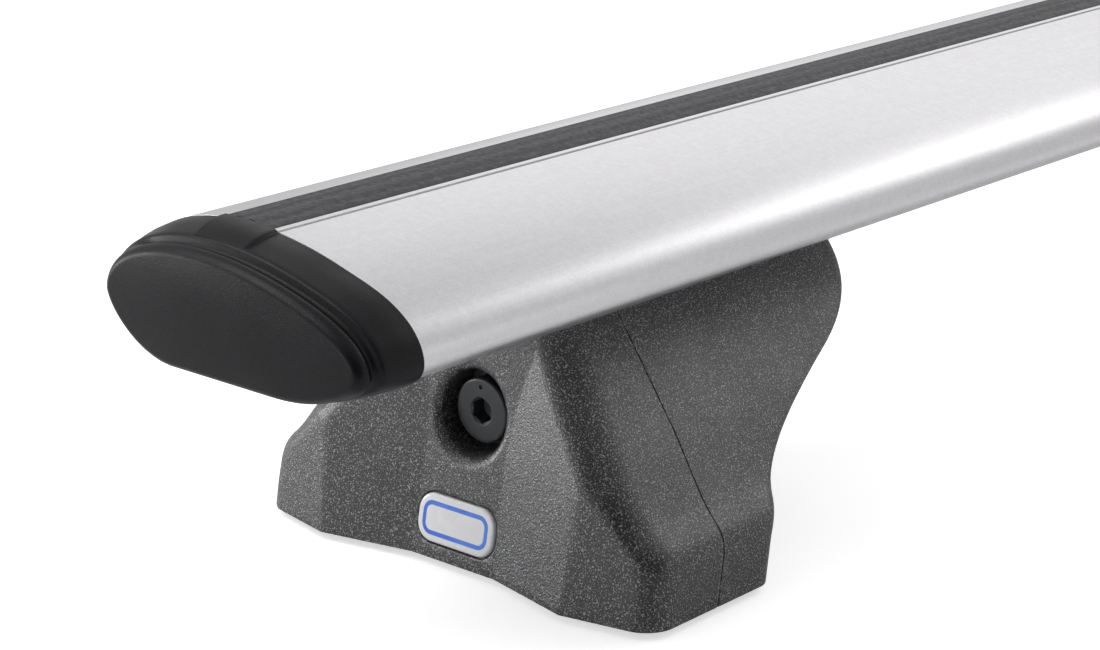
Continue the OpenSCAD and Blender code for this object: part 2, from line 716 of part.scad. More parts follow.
module base_plate() {
  half = [pad_half_x - plate_margin, pad_half_y - plate_margin];
  color(steel) difference() {
    translate([0, 0, pad_top]) linear_extrude(height = plate_t) badge_outline(2 * half.x, 2 * half.y, 6);
    translate([0, 0, pad_top - through]) cylinder(h = plate_t + 2 * through, r = stud_bore / 2, $fn = round_fn);
    for (p = plate_screw_at) translate([p.x, p.y, pad_top]) {
      cylinder(h = plate_screw_head_h, r1 = plate_screw_head_r, r2 = plate_screw_r, $fn = round_fn);
      translate([0, 0, -through]) cylinder(h = plate_t + 2 * through, r = plate_screw_r, $fn = round_fn);
    }
  }
}

module roof_pad() {
  color(rubber) difference() {
    translate([0, 0, -ground_gap]) linear_extrude(height = pad_t)
      badge_outline(2 * pad_half_x, 2 * pad_half_y, 8);
    translate([0, 0, -ground_gap - through])
      cylinder(h = pad_t + 2 * through, r = stud_bore / 2 + 2, $fn = round_fn);
  }
}

cover_screw_x = 8;
cover_screw_z = flange_top + 10;
cover_screw_r = 1.75;
cover_screw_l = 10;
boss_y = rear_web_y + web_t + face_gap;
module inner_cover() {
  boss_r = 3.8;
  boss_end = heel_at(cover_screw_z) + lean * cover_screw_z - 1;
  color(cover_grey) difference() {
    union() {
      difference() {
        inner_cover_form(0);
        inner_cover_form(shell);
      }
      for (x = [-1, 1])
        translate([x * cover_screw_x, boss_y, cover_screw_z]) rotate([-90, 0, 0])
          cylinder(h = boss_end - boss_y, r = boss_r, $fn = 24);
    }
    for (x = [-1, 1])
      translate([x * cover_screw_x, boss_y - through, cover_screw_z]) rotate([-90, 0, 0])
        cylinder(h = cover_screw_l - web_t + through + 0.5, r = cover_screw_r, $fn = 24);
  }
}

module inner_cover_screws() {
  color(steel) for (x = [-1, 1])
    translate([x * cover_screw_x, rear_web_y, cover_screw_z]) rotate([-90, 0, 0]) {
      cylinder(h = cover_screw_l, r = cover_screw_r, $fn = 24);
      translate([0, 0, -2.4]) cylinder(h = 2.4, r1 = 2.6, r2 = 3.4, $fn = 24);
    }
}

module channel_nut() {
  ends = 12;
  z0 = foot_h + channel_lip_t + slide_gap;
  color(steel) difference() {
    translate([-channel_w / 2 + face_gap, clamp_y - ends, z0])
      cube([channel_w - 2 * face_gap, clamp_pitch + 2 * ends, nut_t]);
    for (y = [clamp_y, clamp_y + clamp_pitch])
      translate([0, y, z0 - through]) cylinder(h = nut_t + 2 * through, r = clamp_dia / 2 + thread_gap, $fn = round_fn);
  }
}

module clamp_bolts() {
  head_h = 6;
  head_r = 5;
  top = foot_h + channel_lip_t + slide_gap + nut_t - 0.2;
  color(steel) for (y = [clamp_y, clamp_y + clamp_pitch])
    translate([0, y, 0]) difference() {
      union() {
        translate([0, 0, saddle_low]) cylinder(h = top - saddle_low, r = clamp_dia / 2, $fn = round_fn);
        translate([0, 0, saddle_low - head_h]) cylinder(h = head_h, r = head_r, $fn = round_fn);
      }
      translate([0, 0, saddle_low - head_h - eps]) cylinder(h = 3.5, r = 2.5 / cos(30), $fn = 6);
    }
}

// Places a foot's piece: end is -1 at the left end of the bar, 1 at the right
module foot(end) {
  mirror([0, end > 0 ? 1 : 0, 0])
    translate([0, -profile_l / 2 + foot_inset, ground_gap]) children();
}

module cap(end) {
  mirror([0, end > 0 ? 1 : 0, 0])
    translate([0, -profile_l / 2, nose_z]) children();
}

crossbar_profile();
slot_strip();
cap(-1) end_cap();  // left_end_cap
cap(1) end_cap();  // right_end_cap
foot(-1) channel_nut();  // left_channel_nut
foot(-1) foot_bracket();  // left_foot_bracket
foot(-1) clamp_bolts();  // left_clamp_bolts
foot(-1) base_plate();  // left_base_plate
foot(-1) plate_screws();  // left_plate_screws
foot(-1) roof_pad();  // left_roof_pad
foot(-1) inner_cover();  // left_inner_cover
foot(-1) inner_cover_screws();  // left_inner_cover_screws
foot(-1) outer_cover();  // left_outer_cover
foot(-1) badge();  // left_badge
foot(-1) security_screw();  // left_security_screw
foot(-1) screw_clip();  // left_screw_clip
foot(-1) screw_insert();  // left_screw_insert
foot(1) channel_nut();  // right_channel_nut
foot(1) foot_bracket();  // right_foot_bracket
foot(1) clamp_bolts();  // right_clamp_bolts
foot(1) base_plate();  // right_base_plate
foot(1) plate_screws();  // right_plate_screws
foot(1) roof_pad();  // right_roof_pad
foot(1) inner_cover();  // right_inner_cover
foot(1) inner_cover_screws();  // right_inner_cover_screws
foot(1) outer_cover();  // right_outer_cover
foot(1) badge();  // right_badge
foot(1) security_screw();  // right_security_screw
foot(1) screw_clip();  // right_screw_clip
foot(1) screw_insert();  // right_screw_insert
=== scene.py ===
import bpy
import bmesh
import json
import math
import numpy as np
from mathutils import Matrix, Vector


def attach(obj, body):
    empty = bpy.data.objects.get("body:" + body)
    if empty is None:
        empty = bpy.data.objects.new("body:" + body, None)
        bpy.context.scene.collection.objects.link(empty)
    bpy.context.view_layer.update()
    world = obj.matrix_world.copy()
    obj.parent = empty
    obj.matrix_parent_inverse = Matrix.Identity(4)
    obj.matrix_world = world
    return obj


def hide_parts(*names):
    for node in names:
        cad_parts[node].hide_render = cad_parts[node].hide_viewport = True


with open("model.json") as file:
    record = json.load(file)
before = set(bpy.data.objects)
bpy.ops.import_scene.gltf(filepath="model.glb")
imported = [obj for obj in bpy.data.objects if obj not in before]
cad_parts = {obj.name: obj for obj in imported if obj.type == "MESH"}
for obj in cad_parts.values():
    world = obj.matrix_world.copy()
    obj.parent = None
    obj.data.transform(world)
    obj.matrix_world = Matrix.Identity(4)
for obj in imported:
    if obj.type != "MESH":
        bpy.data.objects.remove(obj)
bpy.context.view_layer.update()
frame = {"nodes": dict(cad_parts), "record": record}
mm = 0.001
nodeBody = {node: body for body, nodes in frame["record"]["behaviour"]["bodies"].items() for node in nodes}
print("frame loaded")


# Small helpers. Points are in millimetres until they become a mesh.

def newObject(name, data):
    piece = bpy.data.objects.new(name, data)
    bpy.context.scene.collection.objects.link(piece)
    return piece


def facesOut(work):
    if work.calc_volume(signed=True) < 0:  # inside out
        bmesh.ops.reverse_faces(work, faces=work.faces)


def addObject(name, points, faces, smoothAngle=35):
    mesh = bpy.data.meshes.new(name)
    mesh.from_pydata([tuple(p) for p in np.asarray(points, float) * mm], [], faces)
    mesh.validate()
    work = bmesh.new()
    work.from_mesh(mesh)
    facesOut(work)
    work.to_mesh(mesh)
    work.free()
    smoothShade(mesh, smoothAngle)
    return newObject(name, mesh)


def smoothShade(mesh, angle=35):
    mesh.shade_smooth()
    mesh.set_sharp_from_angle(angle=math.radians(angle))


def loft(rings):
    rings = [np.asarray(r, float) for r in rings]
    size = len(rings[0])
    last = (len(rings) - 1) * size
    faces = [
        (k * size + i, k * size + (i + 1) % size, (k + 1) * size + (i + 1) % size, (k + 1) * size + i)
        for k in range(len(rings) - 1) for i in range(size)
    ]
    faces.append(tuple(range(size - 1, -1, -1)))
    faces.append(tuple(range(last, last + size)))
    return np.vstack(rings), faces


def joined(parts):
    points, faces, offset = [], [], 0
    for p, f in parts:
        points.append(np.asarray(p, float))
        faces += [tuple(i + offset for i in face) for face in f]
        offset += len(p)
    return np.vstack(points), faces


def bakeModifiers(piece):
    graph = bpy.context.evaluated_depsgraph_get()
    baked = bpy.data.meshes.new_from_object(piece.evaluated_get(graph))
    piece.modifiers.clear()
    old = piece.data
    piece.data = baked
    bpy.data.meshes.remove(old)


def cutWith(piece, cutter, operation="DIFFERENCE"):
    modifier = piece.modifiers.new("cut", "BOOLEAN")
    modifier.solver = "MANIFOLD"
    modifier.operation = operation
    modifier.object = cutter
    bakeModifiers(piece)
    bpy.data.objects.remove(cutter)


def bevelEdges(piece, width, segments=2, angle=40):
    modifier = piece.modifiers.new("bevel", "BEVEL")
    modifier.width = width * mm
    modifier.segments = segments
    modifier.limit_method = "ANGLE"
    modifier.angle_limit = math.radians(angle)
    bakeModifiers(piece)


def cleanMesh(piece, angle=35):
    work = bmesh.new()
    work.from_mesh(piece.data)
    bmesh.ops.remove_doubles(work, verts=work.verts, dist=0.002 * mm)
    bmesh.ops.dissolve_degenerate(work, edges=work.edges, dist=0.002 * mm)
    work.to_mesh(piece.data)
    work.free()
    smoothShade(piece.data, angle)


def mirroredCopy(piece, name):
    mesh = piece.data.copy()
    mesh.transform(Matrix.Scale(-1, 4, (0, 1, 0)))
    mesh.flip_normals()
    mesh.name = name
    return newObject(name, mesh)


def ramp(value, low, high):
    t = np.clip((np.asarray(value, float) - low) / (high - low), 0, 1)
    return t * t * (3 - 2 * t)


def arc(centre, radius, start, stop, steps):
    angles = np.radians(np.linspace(start, stop, steps + 1))
    return [(centre[0] + radius * math.cos(a), centre[1] + radius * math.sin(a)) for a in angles]


def between(a, b, fractions):
    return [(a[0] + (b[0] - a[0]) * t, a[1] + (b[1] - a[1]) * t) for t in fractions]


def curve(a, b, c, d, count):  # cubic curve without its last point
    points = []
    for i in range(count):
        t = i / count
        u = 1 - t
        both = zip(a, b, c, d)
        points.append([u**3 * p + 3 * u * u * t * q + 3 * u * t * t * r + t**3 * s for p, q, r, s in both])
    return points


def markEdges(piece, reach=0.5):
    # writes how strongly each vertex stands on an outer edge, for the wear in the materials
    work = bmesh.new()
    work.from_mesh(piece.data)
    layer = work.verts.layers.float.new("edgeMask")
    for vertex in work.verts:
        bend = 0
        for edge in vertex.link_edges:
            if len(edge.link_faces) == 2:
                span = min(face.calc_area() for face in edge.link_faces) / max(edge.calc_length(), 1e-6)
                bend = max(bend, edge.calc_face_angle_signed(0) / max(span / mm, 0.15))
        vertex[layer] = min(1, max(0, bend * reach))
    work.to_mesh(piece.data)
    work.free()


# Materials: groups first, then one function for each finish

def setSocket(tree, socket, value):
    if isinstance(value, bpy.types.NodeSocket):
        tree.links.new(value, socket)
    else:
        socket.default_value = value


def addNode(tree, kind, values=None, **settings):
    node = tree.nodes.new(kind)
    for key, value in settings.items():
        setattr(node, key, value)
    for key, value in (values or {}).items():
        setSocket(tree, node.inputs[key], value)
    return node


def newGroup(name, inputs, outputs):
    tree = bpy.data.node_groups.new(name, "ShaderNodeTree")
    for label, value in inputs.items():
        socket = tree.interface.new_socket(name=label, in_out="INPUT", socket_type="NodeSocketFloat")
        socket.default_value = value
    for label in outputs:
        tree.interface.new_socket(name=label, in_out="OUTPUT", socket_type="NodeSocketFloat")
    return tree, tree.nodes.new("NodeGroupInput"), tree.nodes.new("NodeGroupOutput")


def math2(tree, operation, a, b=0.0):
    return addNode(tree, "ShaderNodeMath", {0: a, 1: b}, operation=operation).outputs[0]


def objectPoints(tree, scale):
    coordinates = addNode(tree, "ShaderNodeTexCoord")
    values = {0: coordinates.outputs["Object"], "Scale": scale}
    return addNode(tree, "ShaderNodeVectorMath", values, operation="SCALE").outputs[0]


def remap(tree, value, low, high, toLow=0.0, toHigh=1.0, smooth=True):
    values = {"Value": value, "From Min": low, "From Max": high, "To Min": toLow, "To Max": toHigh}
    kind = "SMOOTHSTEP" if smooth else "LINEAR"
    return addNode(tree, "ShaderNodeMapRange", values, interpolation_type=kind).outputs[0]


def noiseAt(tree, points, scale, detail):
    values = {"Vector": points, "Scale": scale, "Detail": detail}
    return addNode(tree, "ShaderNodeTexNoise", values).outputs["Fac"]


def grainGroup():
    # spark eroded mould grain: pits and peaks of about Size millimetres, with light flecks on the peaks that
    # are painted glints, highlights painted into the colour
    tree, into, out = newGroup("mouldedGrain", {"Size": 0.4, "Flecks": 0.5}, ("Height", "Fleck", "Cloud"))
    points = objectPoints(tree, math2(tree, "DIVIDE", 1000.0, into.outputs["Size"]))
    cells = addNode(tree, "ShaderNodeTexVoronoi", {"Vector": points, "Scale": 1.0}, feature="SMOOTH_F1")
    cells.inputs["Smoothness"].default_value = 0.35
    noise = noiseAt(tree, points, 0.9, 3.0)
    height = math2(tree, "ADD", math2(tree, "MULTIPLY", cells.outputs["Distance"], 0.6), noise)
    tree.links.new(height, out.inputs["Height"])
    # painted glints: light flecks where the noise peaks, colour standing in for the highlights the grain
    # catches
    glints = noiseAt(tree, points, 1.15, 1.0)
    low = math2(tree, "SUBTRACT", 0.72, math2(tree, "MULTIPLY", into.outputs["Flecks"], 0.24))
    glintMask = remap(tree, glints, low, math2(tree, "ADD", low, 0.14))
    tree.links.new(glintMask, out.inputs["Fleck"])
    tree.links.new(noiseAt(tree, points, 0.02, 3.0), out.inputs["Cloud"])
    return tree


def wearGroup():
    # handling wear along outer edges, broken up by noise; reads the mask that markEdges writes
    tree, into, out = newGroup("edgeWear", {"Amount": 0.5, "Size": 1.5}, ("Mask",))
    mask = addNode(tree, "ShaderNodeAttribute", attribute_name="edgeMask")
    points = objectPoints(tree, math2(tree, "DIVIDE", 1000.0, into.outputs["Size"]))
    broken = remap(tree, noiseAt(tree, points, 1.0, 4.0), 0.35, 0.75)
    worn = math2(tree, "MULTIPLY", mask.outputs["Fac"], broken)
    tree.links.new(math2(tree, "MULTIPLY", worn, into.outputs["Amount"]), out.inputs["Mask"])
    return tree


def drawnGroup():
    # die lines of an extrusion, long in Y, and the fine satin grain over them
    tree, into, out = newGroup("drawnLines", {"Fineness": 0.35, "Length": 120.0}, ("Height", "Tint"))
    coordinates = addNode(tree, "ShaderNodeTexCoord")
    parts = addNode(tree, "ShaderNodeSeparateXYZ", {"Vector": coordinates.outputs["Object"]})
    fine = math2(tree, "DIVIDE", 1000.0, into.outputs["Fineness"])
    far = math2(tree, "DIVIDE", 1000.0, into.outputs["Length"])
    stretched = addNode(tree, "ShaderNodeCombineXYZ", {
        "X": math2(tree, "MULTIPLY", parts.outputs["X"], fine),
        "Y": math2(tree, "MULTIPLY", parts.outputs["Y"], far),
        "Z": math2(tree, "MULTIPLY", parts.outputs["Z"], fine),
    })
    lines = noiseAt(tree, stretched.outputs[0], 1.0, 3.0)
    satin = noiseAt(tree, objectPoints(tree, fine), 0.8, 2.0)
    height = math2(tree, "ADD", math2(tree, "MULTIPLY", lines, 0.12), satin)
    tree.links.new(height, out.inputs["Height"])
    tint = math2(tree, "ADD", math2(tree, "MULTIPLY", lines, 0.3), math2(tree, "MULTIPLY", satin, 0.7))
    tree.links.new(remap(tree, tint, 0.36, 0.64), out.inputs["Tint"])
    return tree


groups = {"grain": grainGroup(), "wear": wearGroup(), "drawn": drawnGroup()}


def useGroup(tree, key, **values):
    return addNode(tree, "ShaderNodeGroup", values, node_tree=groups[key])


def colourMix(tree, factor, a, b):
    a, b = (colour if isinstance(colour, bpy.types.NodeSocket) else (*colour, 1.0) for colour in (a, b))
    return addNode(tree, "ShaderNodeMix", {0: factor, 6: a, 7: b}, data_type="RGBA").outputs[2]


def newMaterial(name, look, **sockets):
    material = bpy.data.materials.new(name)
    material.use_nodes = True
    tree = material.node_tree
    shader = tree.nodes["Principled BSDF"]
    material.diffuse_color = (*look, 1.0)
    for key, value in sockets.items():
        shader.inputs[key].default_value = value
    return material, tree, shader


def feedShader(tree, shader, colour, rough):
    tree.links.new(colour, shader.inputs["Base Color"])
    tree.links.new(rough, shader.inputs["Roughness"])


def bump(tree, shader, height, strength, distance):
    values = {"Height": height, "Strength": strength, "Distance": distance * mm}
    node = addNode(tree, "ShaderNodeBump", values)
    tree.links.new(node.outputs["Normal"], shader.inputs["Normal"])


# colours, roughness (a range on drawn surfaces), grain size in millimetres, strength of relief and wear
finishes = {
    # in the grained plastics, light is the colour of the painted glints on the grain peaks
    "cover": {
        "dark": (0.006, 0.006, 0.008), "light": (0.36, 0.357, 0.363), "roughness": 0.36, "gloss": 0.9,
        "ior": 1.48, "size": 0.4, "glints": 0.7, "bump": 1.0, "wear": 0.25,
    },
    "cap": {
        "dark": (0.005, 0.005, 0.007), "light": (0.013, 0.013, 0.017), "roughness": 0.38, "gloss": 0.22,
        "ior": 1.5, "size": 0.26, "glints": 0.5, "bump": 0.3, "wear": 0.5,
    },
    "pad": {
        "dark": (0.012, 0.012, 0.013), "light": (0.024, 0.024, 0.026), "roughness": 0.72, "gloss": 0.5,
        "ior": 1.5, "size": 0.6, "glints": 0.4, "bump": 0.5, "wear": 0.3,
    },
    "aluminium": {
        "dark": (0.70, 0.688, 0.707), "light": (0.775, 0.763, 0.782), "worn": (0.86, 0.86, 0.87),
        "roughness": (0.37, 0.40), "metallic": 1.0, "wear": 0.35,
        "fineness": 0.32, "length": 90.0, "bump": 0.1, "depth": 0.04,
    },
    "strip": {
        "dark": (0.012, 0.0115, 0.016), "light": (0.023, 0.022, 0.028),
        "roughness": (0.42, 0.58), "metallic": 0.0, "wear": 0,
        "fineness": 1.1, "length": 260.0, "bump": 0.22, "depth": 0.08,
    },
    "screw": {
        "dark": (0.020, 0.022, 0.026), "light": (0.028, 0.030, 0.035), "roughness": 0.38, "metallic": 0.0,
        "size": 0.3, "bump": 0.05, "wear": 1.0,
    },
    "zinc": {
        "dark": (0.42, 0.42, 0.41), "light": (0.58, 0.585, 0.6), "roughness": 0.34, "metallic": 1.0,
        "size": 0.6, "bump": 0.12, "wear": 0.6,
    },
    "cast": {
        "dark": (0.30, 0.305, 0.315), "light": (0.44, 0.45, 0.465), "roughness": 0.55, "metallic": 1.0,
        "size": 0.9, "bump": 0.5, "wear": 0.6,
    },
    "brass": {
        "dark": (0.50, 0.35, 0.14), "light": (0.68, 0.50, 0.23), "roughness": 0.32, "metallic": 1.0,
        "size": 0.4, "bump": 0.08, "wear": 0.6,
    },
    "badge": {
        "face": (0.86, 0.86, 0.885), "ring": (0.030, 0.135, 0.72), "ringLit": (0.07, 0.25, 0.86),
        "ringIn": 1.75, "ringOut": 2.85, "ringEdge": 0.06, "coat": 0.6, "coatRoughness": 0.06,
    },
}


def grainedPlastic(name, key):
    look = finishes[key]
    gloss = {"Specular IOR Level": look["gloss"], "IOR": look["ior"]}
    material, tree, shader = newMaterial(name, look["light"], Roughness=look["roughness"], **gloss)
    grain = useGroup(tree, "grain", Size=look["size"], Flecks=look["glints"])
    worn = useGroup(tree, "wear", Amount=look["wear"], Size=1.2)
    # the light flecks mixed into the base colour are painted glints
    base = colourMix(tree, grain.outputs["Fleck"], look["dark"], look["light"])
    lighter = tuple(min(1, c * 1.9 + 0.01) for c in look["light"])
    edged = colourMix(tree, worn.outputs["Mask"], base, lighter)
    cloud = remap(tree, grain.outputs["Cloud"], 0.3, 0.7, 0.93, 1.05, smooth=False)
    shaded = addNode(tree, "ShaderNodeHueSaturation", {"Color": edged, "Value": cloud})
    rough = remap(tree, grain.outputs["Cloud"], 0.3, 0.7, look["roughness"] - 0.05, look["roughness"] + 0.06)
    feedShader(tree, shader, shaded.outputs[0], rough)
    bump(tree, shader, grain.outputs["Height"], look["bump"], 0.1)
    return material


def drawnFinish(name, key):
    look = finishes[key]
    material, tree, shader = newMaterial(name, look["light"], Metallic=look["metallic"])
    drawn = useGroup(tree, "drawn", Fineness=look["fineness"], Length=look["length"])
    colour = colourMix(tree, drawn.outputs["Tint"], look["dark"], look["light"])
    if look["wear"]:
        worn = useGroup(tree, "wear", Amount=look["wear"], Size=2.0)
        colour = colourMix(tree, worn.outputs["Mask"], colour, look["worn"])
    feedShader(tree, shader, colour, remap(tree, drawn.outputs["Tint"], 0.0, 1.0, *look["roughness"]))
    bump(tree, shader, drawn.outputs["Height"], look["bump"], look["depth"])
    return material


def metalFinish(name, key):
    look = finishes[key]
    material, tree, shader = newMaterial(name, look["light"], Metallic=look["metallic"])
    grain = useGroup(tree, "grain", Size=look["size"], Flecks=0.7)
    worn = useGroup(tree, "wear", Amount=look["wear"], Size=0.8)
    mottled = remap(tree, grain.outputs["Height"], 0.45, 1.1)
    base = colourMix(tree, mottled, look["dark"], look["light"])
    edged = colourMix(tree, worn.outputs["Mask"], base, tuple(min(1, c * 1.6 + 0.03) for c in look["light"]))
    rough = remap(tree, grain.outputs["Cloud"], 0.3, 0.7, look["roughness"] - 0.08, look["roughness"] + 0.1)
    feedShader(tree, shader, edged, rough)
    bump(tree, shader, grain.outputs["Height"], look["bump"], 0.1)
    return material


def badgeFinish():
    look = finishes["badge"]
    coat = {"Coat Weight": look["coat"], "Coat Roughness": look["coatRoughness"]}
    material, tree, shader = newMaterial("badgePlastic", look["face"], **coat)
    inset = addNode(tree, "ShaderNodeAttribute", attribute_name="insetMm")
    soft = look["ringEdge"]
    inside = remap(tree, inset.outputs["Fac"], look["ringIn"] - soft, look["ringIn"] + soft)
    outside = remap(tree, inset.outputs["Fac"], look["ringOut"] - soft, look["ringOut"] + soft, 1.0, 0.0)
    band = math2(tree, "MULTIPLY", inside, outside)
    grain = useGroup(tree, "grain", Size=0.5, Flecks=0.3)
    lit = remap(tree, grain.outputs["Cloud"], 0.35, 0.65)
    ring = colourMix(tree, lit, look["ring"], look["ringLit"])
    colour = colourMix(tree, band, look["face"], ring)
    feedShader(tree, shader, colour, remap(tree, grain.outputs["Cloud"], 0.3, 0.7, 0.2, 0.32))
    bump(tree, shader, grain.outputs["Height"], 0.03, 0.05)
    return material


paint = {
    "cover_plastic": grainedPlastic("coverPlastic", "cover"),
    "cap_plastic": grainedPlastic("capPlastic", "cap"),
    "aluminium_profile": drawnFinish("satinAluminium", "aluminium"),
    "slot_rubber": drawnFinish("slotRubber", "strip"),
    "black_steel": metalFinish("screwBlack", "screw"),
    "zinc_steel": metalFinish("zincSteel", "zinc"),
    "cast_bracket": metalFinish("castBracket", "cast"),
    "pad_rubber": grainedPlastic("padRubber", "pad"),
    "insert_brass": metalFinish("turnedBrass", "brass"),
    "badge_plastic": badgeFinish(),
}
print("materials made")


def finishPiece(piece, node, slot):
    piece.data.materials.clear()
    piece.data.materials.append(paint[slot])
    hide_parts(node)
    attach(piece, nodeBody[node])


def finishPair(piece, ending, slot):
    other = mirroredCopy(piece, piece.name.replace("left", "right"))
    finishPiece(piece, f"left_{ending}", slot)
    finishPiece(other, f"right_{ending}", slot)


# Camera at the photograph's angle, floor, background and lamps

view = {"place": (0.4227, -0.9136, 0.2519), "look": (-0.6331, 0.7143, -0.2982), "lens": 91.64}
light = {
    "world": 0.58,
    "flag": {"towards": (0.66, -0.73, 0.16), "start": 0.45, "full": 0.93, "left": 0.06},  # the dark side
    "floorGlow": 0.6,
    "lamps": [  # name, place, aims at, width, height, watts
        ("left", (-1.95, -1.4, 0.34), (0.0, -0.46, 0.05), 0.9, 0.5, 16.0),
        ("front", (-0.36, -2.2, 0.24), (0.0, -0.46, 0.04), 1.0, 0.44, 3.0),
        ("overhead", (-0.9, -1.15, 1.45), (0.0, -0.45, 0.08), 1.0, 0.8, 9.0),
        ("backLeft", (-1.16, 1.5, 1.79), (0.0, -0.35, 0.08), 2.0, 2.0, 7.0),
        ("backRight", (0.86, 1.52, 1.9), (0.0, -0.35, 0.08), 1.5, 1.2, 10.8),
        ("side", (1.9, -0.1, 0.4), (0.05, -0.4, 0.05), 1.0, 0.7, 1.0),
    ],
}


def addCamera():
    data = bpy.data.cameras.new("camera")
    data.lens = view["lens"]
    data.sensor_width = 36
    data.clip_start = 0.01
    camera = newObject("camera", data)
    camera.location = view["place"]
    camera.rotation_euler = Vector(view["look"]).to_track_quat("-Z", "Y").to_euler()
    bpy.context.scene.camera = camera


def addLamps():
    for name, place, target, width, height, watts in light["lamps"]:
        data = bpy.data.lights.new(name, "AREA")
        data.shape = "RECTANGLE"
        data.size = width
        data.size_y = height
        data.energy = watts
        lamp = newObject(name, data)
        lamp.location = place
        lamp.visible_camera = False
        lamp.rotation_euler = (Vector(target) - Vector(place)).to_track_quat("-Z", "Y").to_euler()


def addWorld():
    world = bpy.data.worlds.new("studio")
    bpy.context.scene.world = world
    world.use_nodes = True
    tree = world.node_tree
    background = tree.nodes["Background"]
    path = addNode(tree, "ShaderNodeLightPath")
    flag = light["flag"]
    direction = addNode(tree, "ShaderNodeTexCoord").outputs["Generated"]
    both = {0: direction, 1: flag["towards"]}
    facing = addNode(tree, "ShaderNodeVectorMath", both, operation="DOT_PRODUCT")
    dark = light["world"] * flag["left"]
    soft = remap(tree, facing.outputs["Value"], flag["start"], flag["full"], light["world"], dark)
    strength = remap(tree, path.outputs["Is Camera Ray"], 0.0, 1.0, soft, 1.0, smooth=False)
    tree.links.new(strength, background.inputs["Strength"])
    background.inputs["Color"].default_value = (1.0, 1.0, 1.0, 1.0)


def addFloor():
    size, level = 12000, -0.05
    corners = [(-size, -size, level), (size, -size, level), (size, size, level), (-size, size, level)]
    floor = addObject("floor", corners, [(0, 1, 2, 3)])
    pale, white = (0.86, 0.86, 0.86), (1.0, 1.0, 1.0, 1.0)
    colours = {"Base Color": (*pale, 1.0), "Emission Color": white}
    material, tree, shader = newMaterial("paleFloor", pale, Roughness=0.85, **colours)
    path = addNode(tree, "ShaderNodeLightPath")
    glow = math2(tree, "MULTIPLY", path.outputs["Is Camera Ray"], light["floorGlow"])
    tree.links.new(glow, shader.inputs["Emission Strength"])
    floor.data.materials.append(material)


addCamera()
addLamps()
addWorld()
addFloor()
bpy.context.scene.view_settings.view_transform = "Standard"
print("camera and light set")


# Bar: the extruded aerofoil, its rubber strip and its end caps

bar = {
    "length": 1047, "leadX": 42.3, "trailX": 42, "crown": 22.4, "belly": 9.5, "crownX": -11,
    "flatLead": -20, "flatTrail": 13, "wall": 2.1, "noseZ": 72.0, "fineness": 4,
    "slotX": -9.4, "recessWidth": 14.6, "recessDepth": 1.9, "mouth": 10.6, "lip": 2.2,
    "rib": 1.35, "seam": 1.0,
    "chamberWidth": 20.6, "chamberHeight": 6.6,
    "channelMouth": 11, "channelLip": 2.6, "channelWidth": 21, "channelHeight": 7.4,
    "edge": 0.15,
}


def barOutline(fineness):
    # once round the section, from the leading end of the flat belly
    n, lead, trail, low = fineness, bar["flatLead"], bar["flatTrail"], -bar["belly"]
    nose, crown, brow = (-bar["leadX"], 7), (bar["crownX"], bar["crown"]), (37.5, 9.4)
    tail, chin = (bar["trailX"], 1.5), (37, -3.75)
    points = curve((lead, low), (lead - 11, low), (-41.5, 0.5), nose, 9 * n)
    points += curve(nose, (nose[0], 15), (-32, 22.3), crown, 9 * n)
    points += curve(crown, (crown[0] + 19, crown[1]), (30, 15.5), brow, 9 * n)
    points += curve(brow, (40.2, 7.2), (42, 4.2), tail, 5 * n)
    points += curve(tail, (42, -1.2), (39.5, -2.6), chin, 5 * n)
    points += curve(chin, (30, -7), (trail + 11, low), (trail, low), 6 * n)
    points += between((trail, low), (lead, low), np.linspace(0, 1, 4 * n)[:-1])
    return np.array(points)


def outlineNormals(points):
    tangent = np.roll(points, -1, axis=0) - np.roll(points, 1, axis=0)
    tangent /= np.linalg.norm(tangent, axis=1)[:, None]
    return np.c_[-tangent[:, 1], tangent[:, 0]]


def alongBar(section, y0, y1):
    section = np.asarray(section, float)
    return [np.c_[section[:, 0], np.full(len(section), y), section[:, 1] + bar["noseZ"]] for y in (y0, y1)]


def rectangle(x0, x1, z0, z1):
    return [(x0, z0), (x1, z0), (x1, z1), (x0, z1)]


def prismObject(section, y0, y1, name="cutter"):
    return addObject(name, *loft(alongBar(section, y0, y1)))


def seamX():
    return bar["slotX"] + bar["recessWidth"] / 2 + bar["rib"]


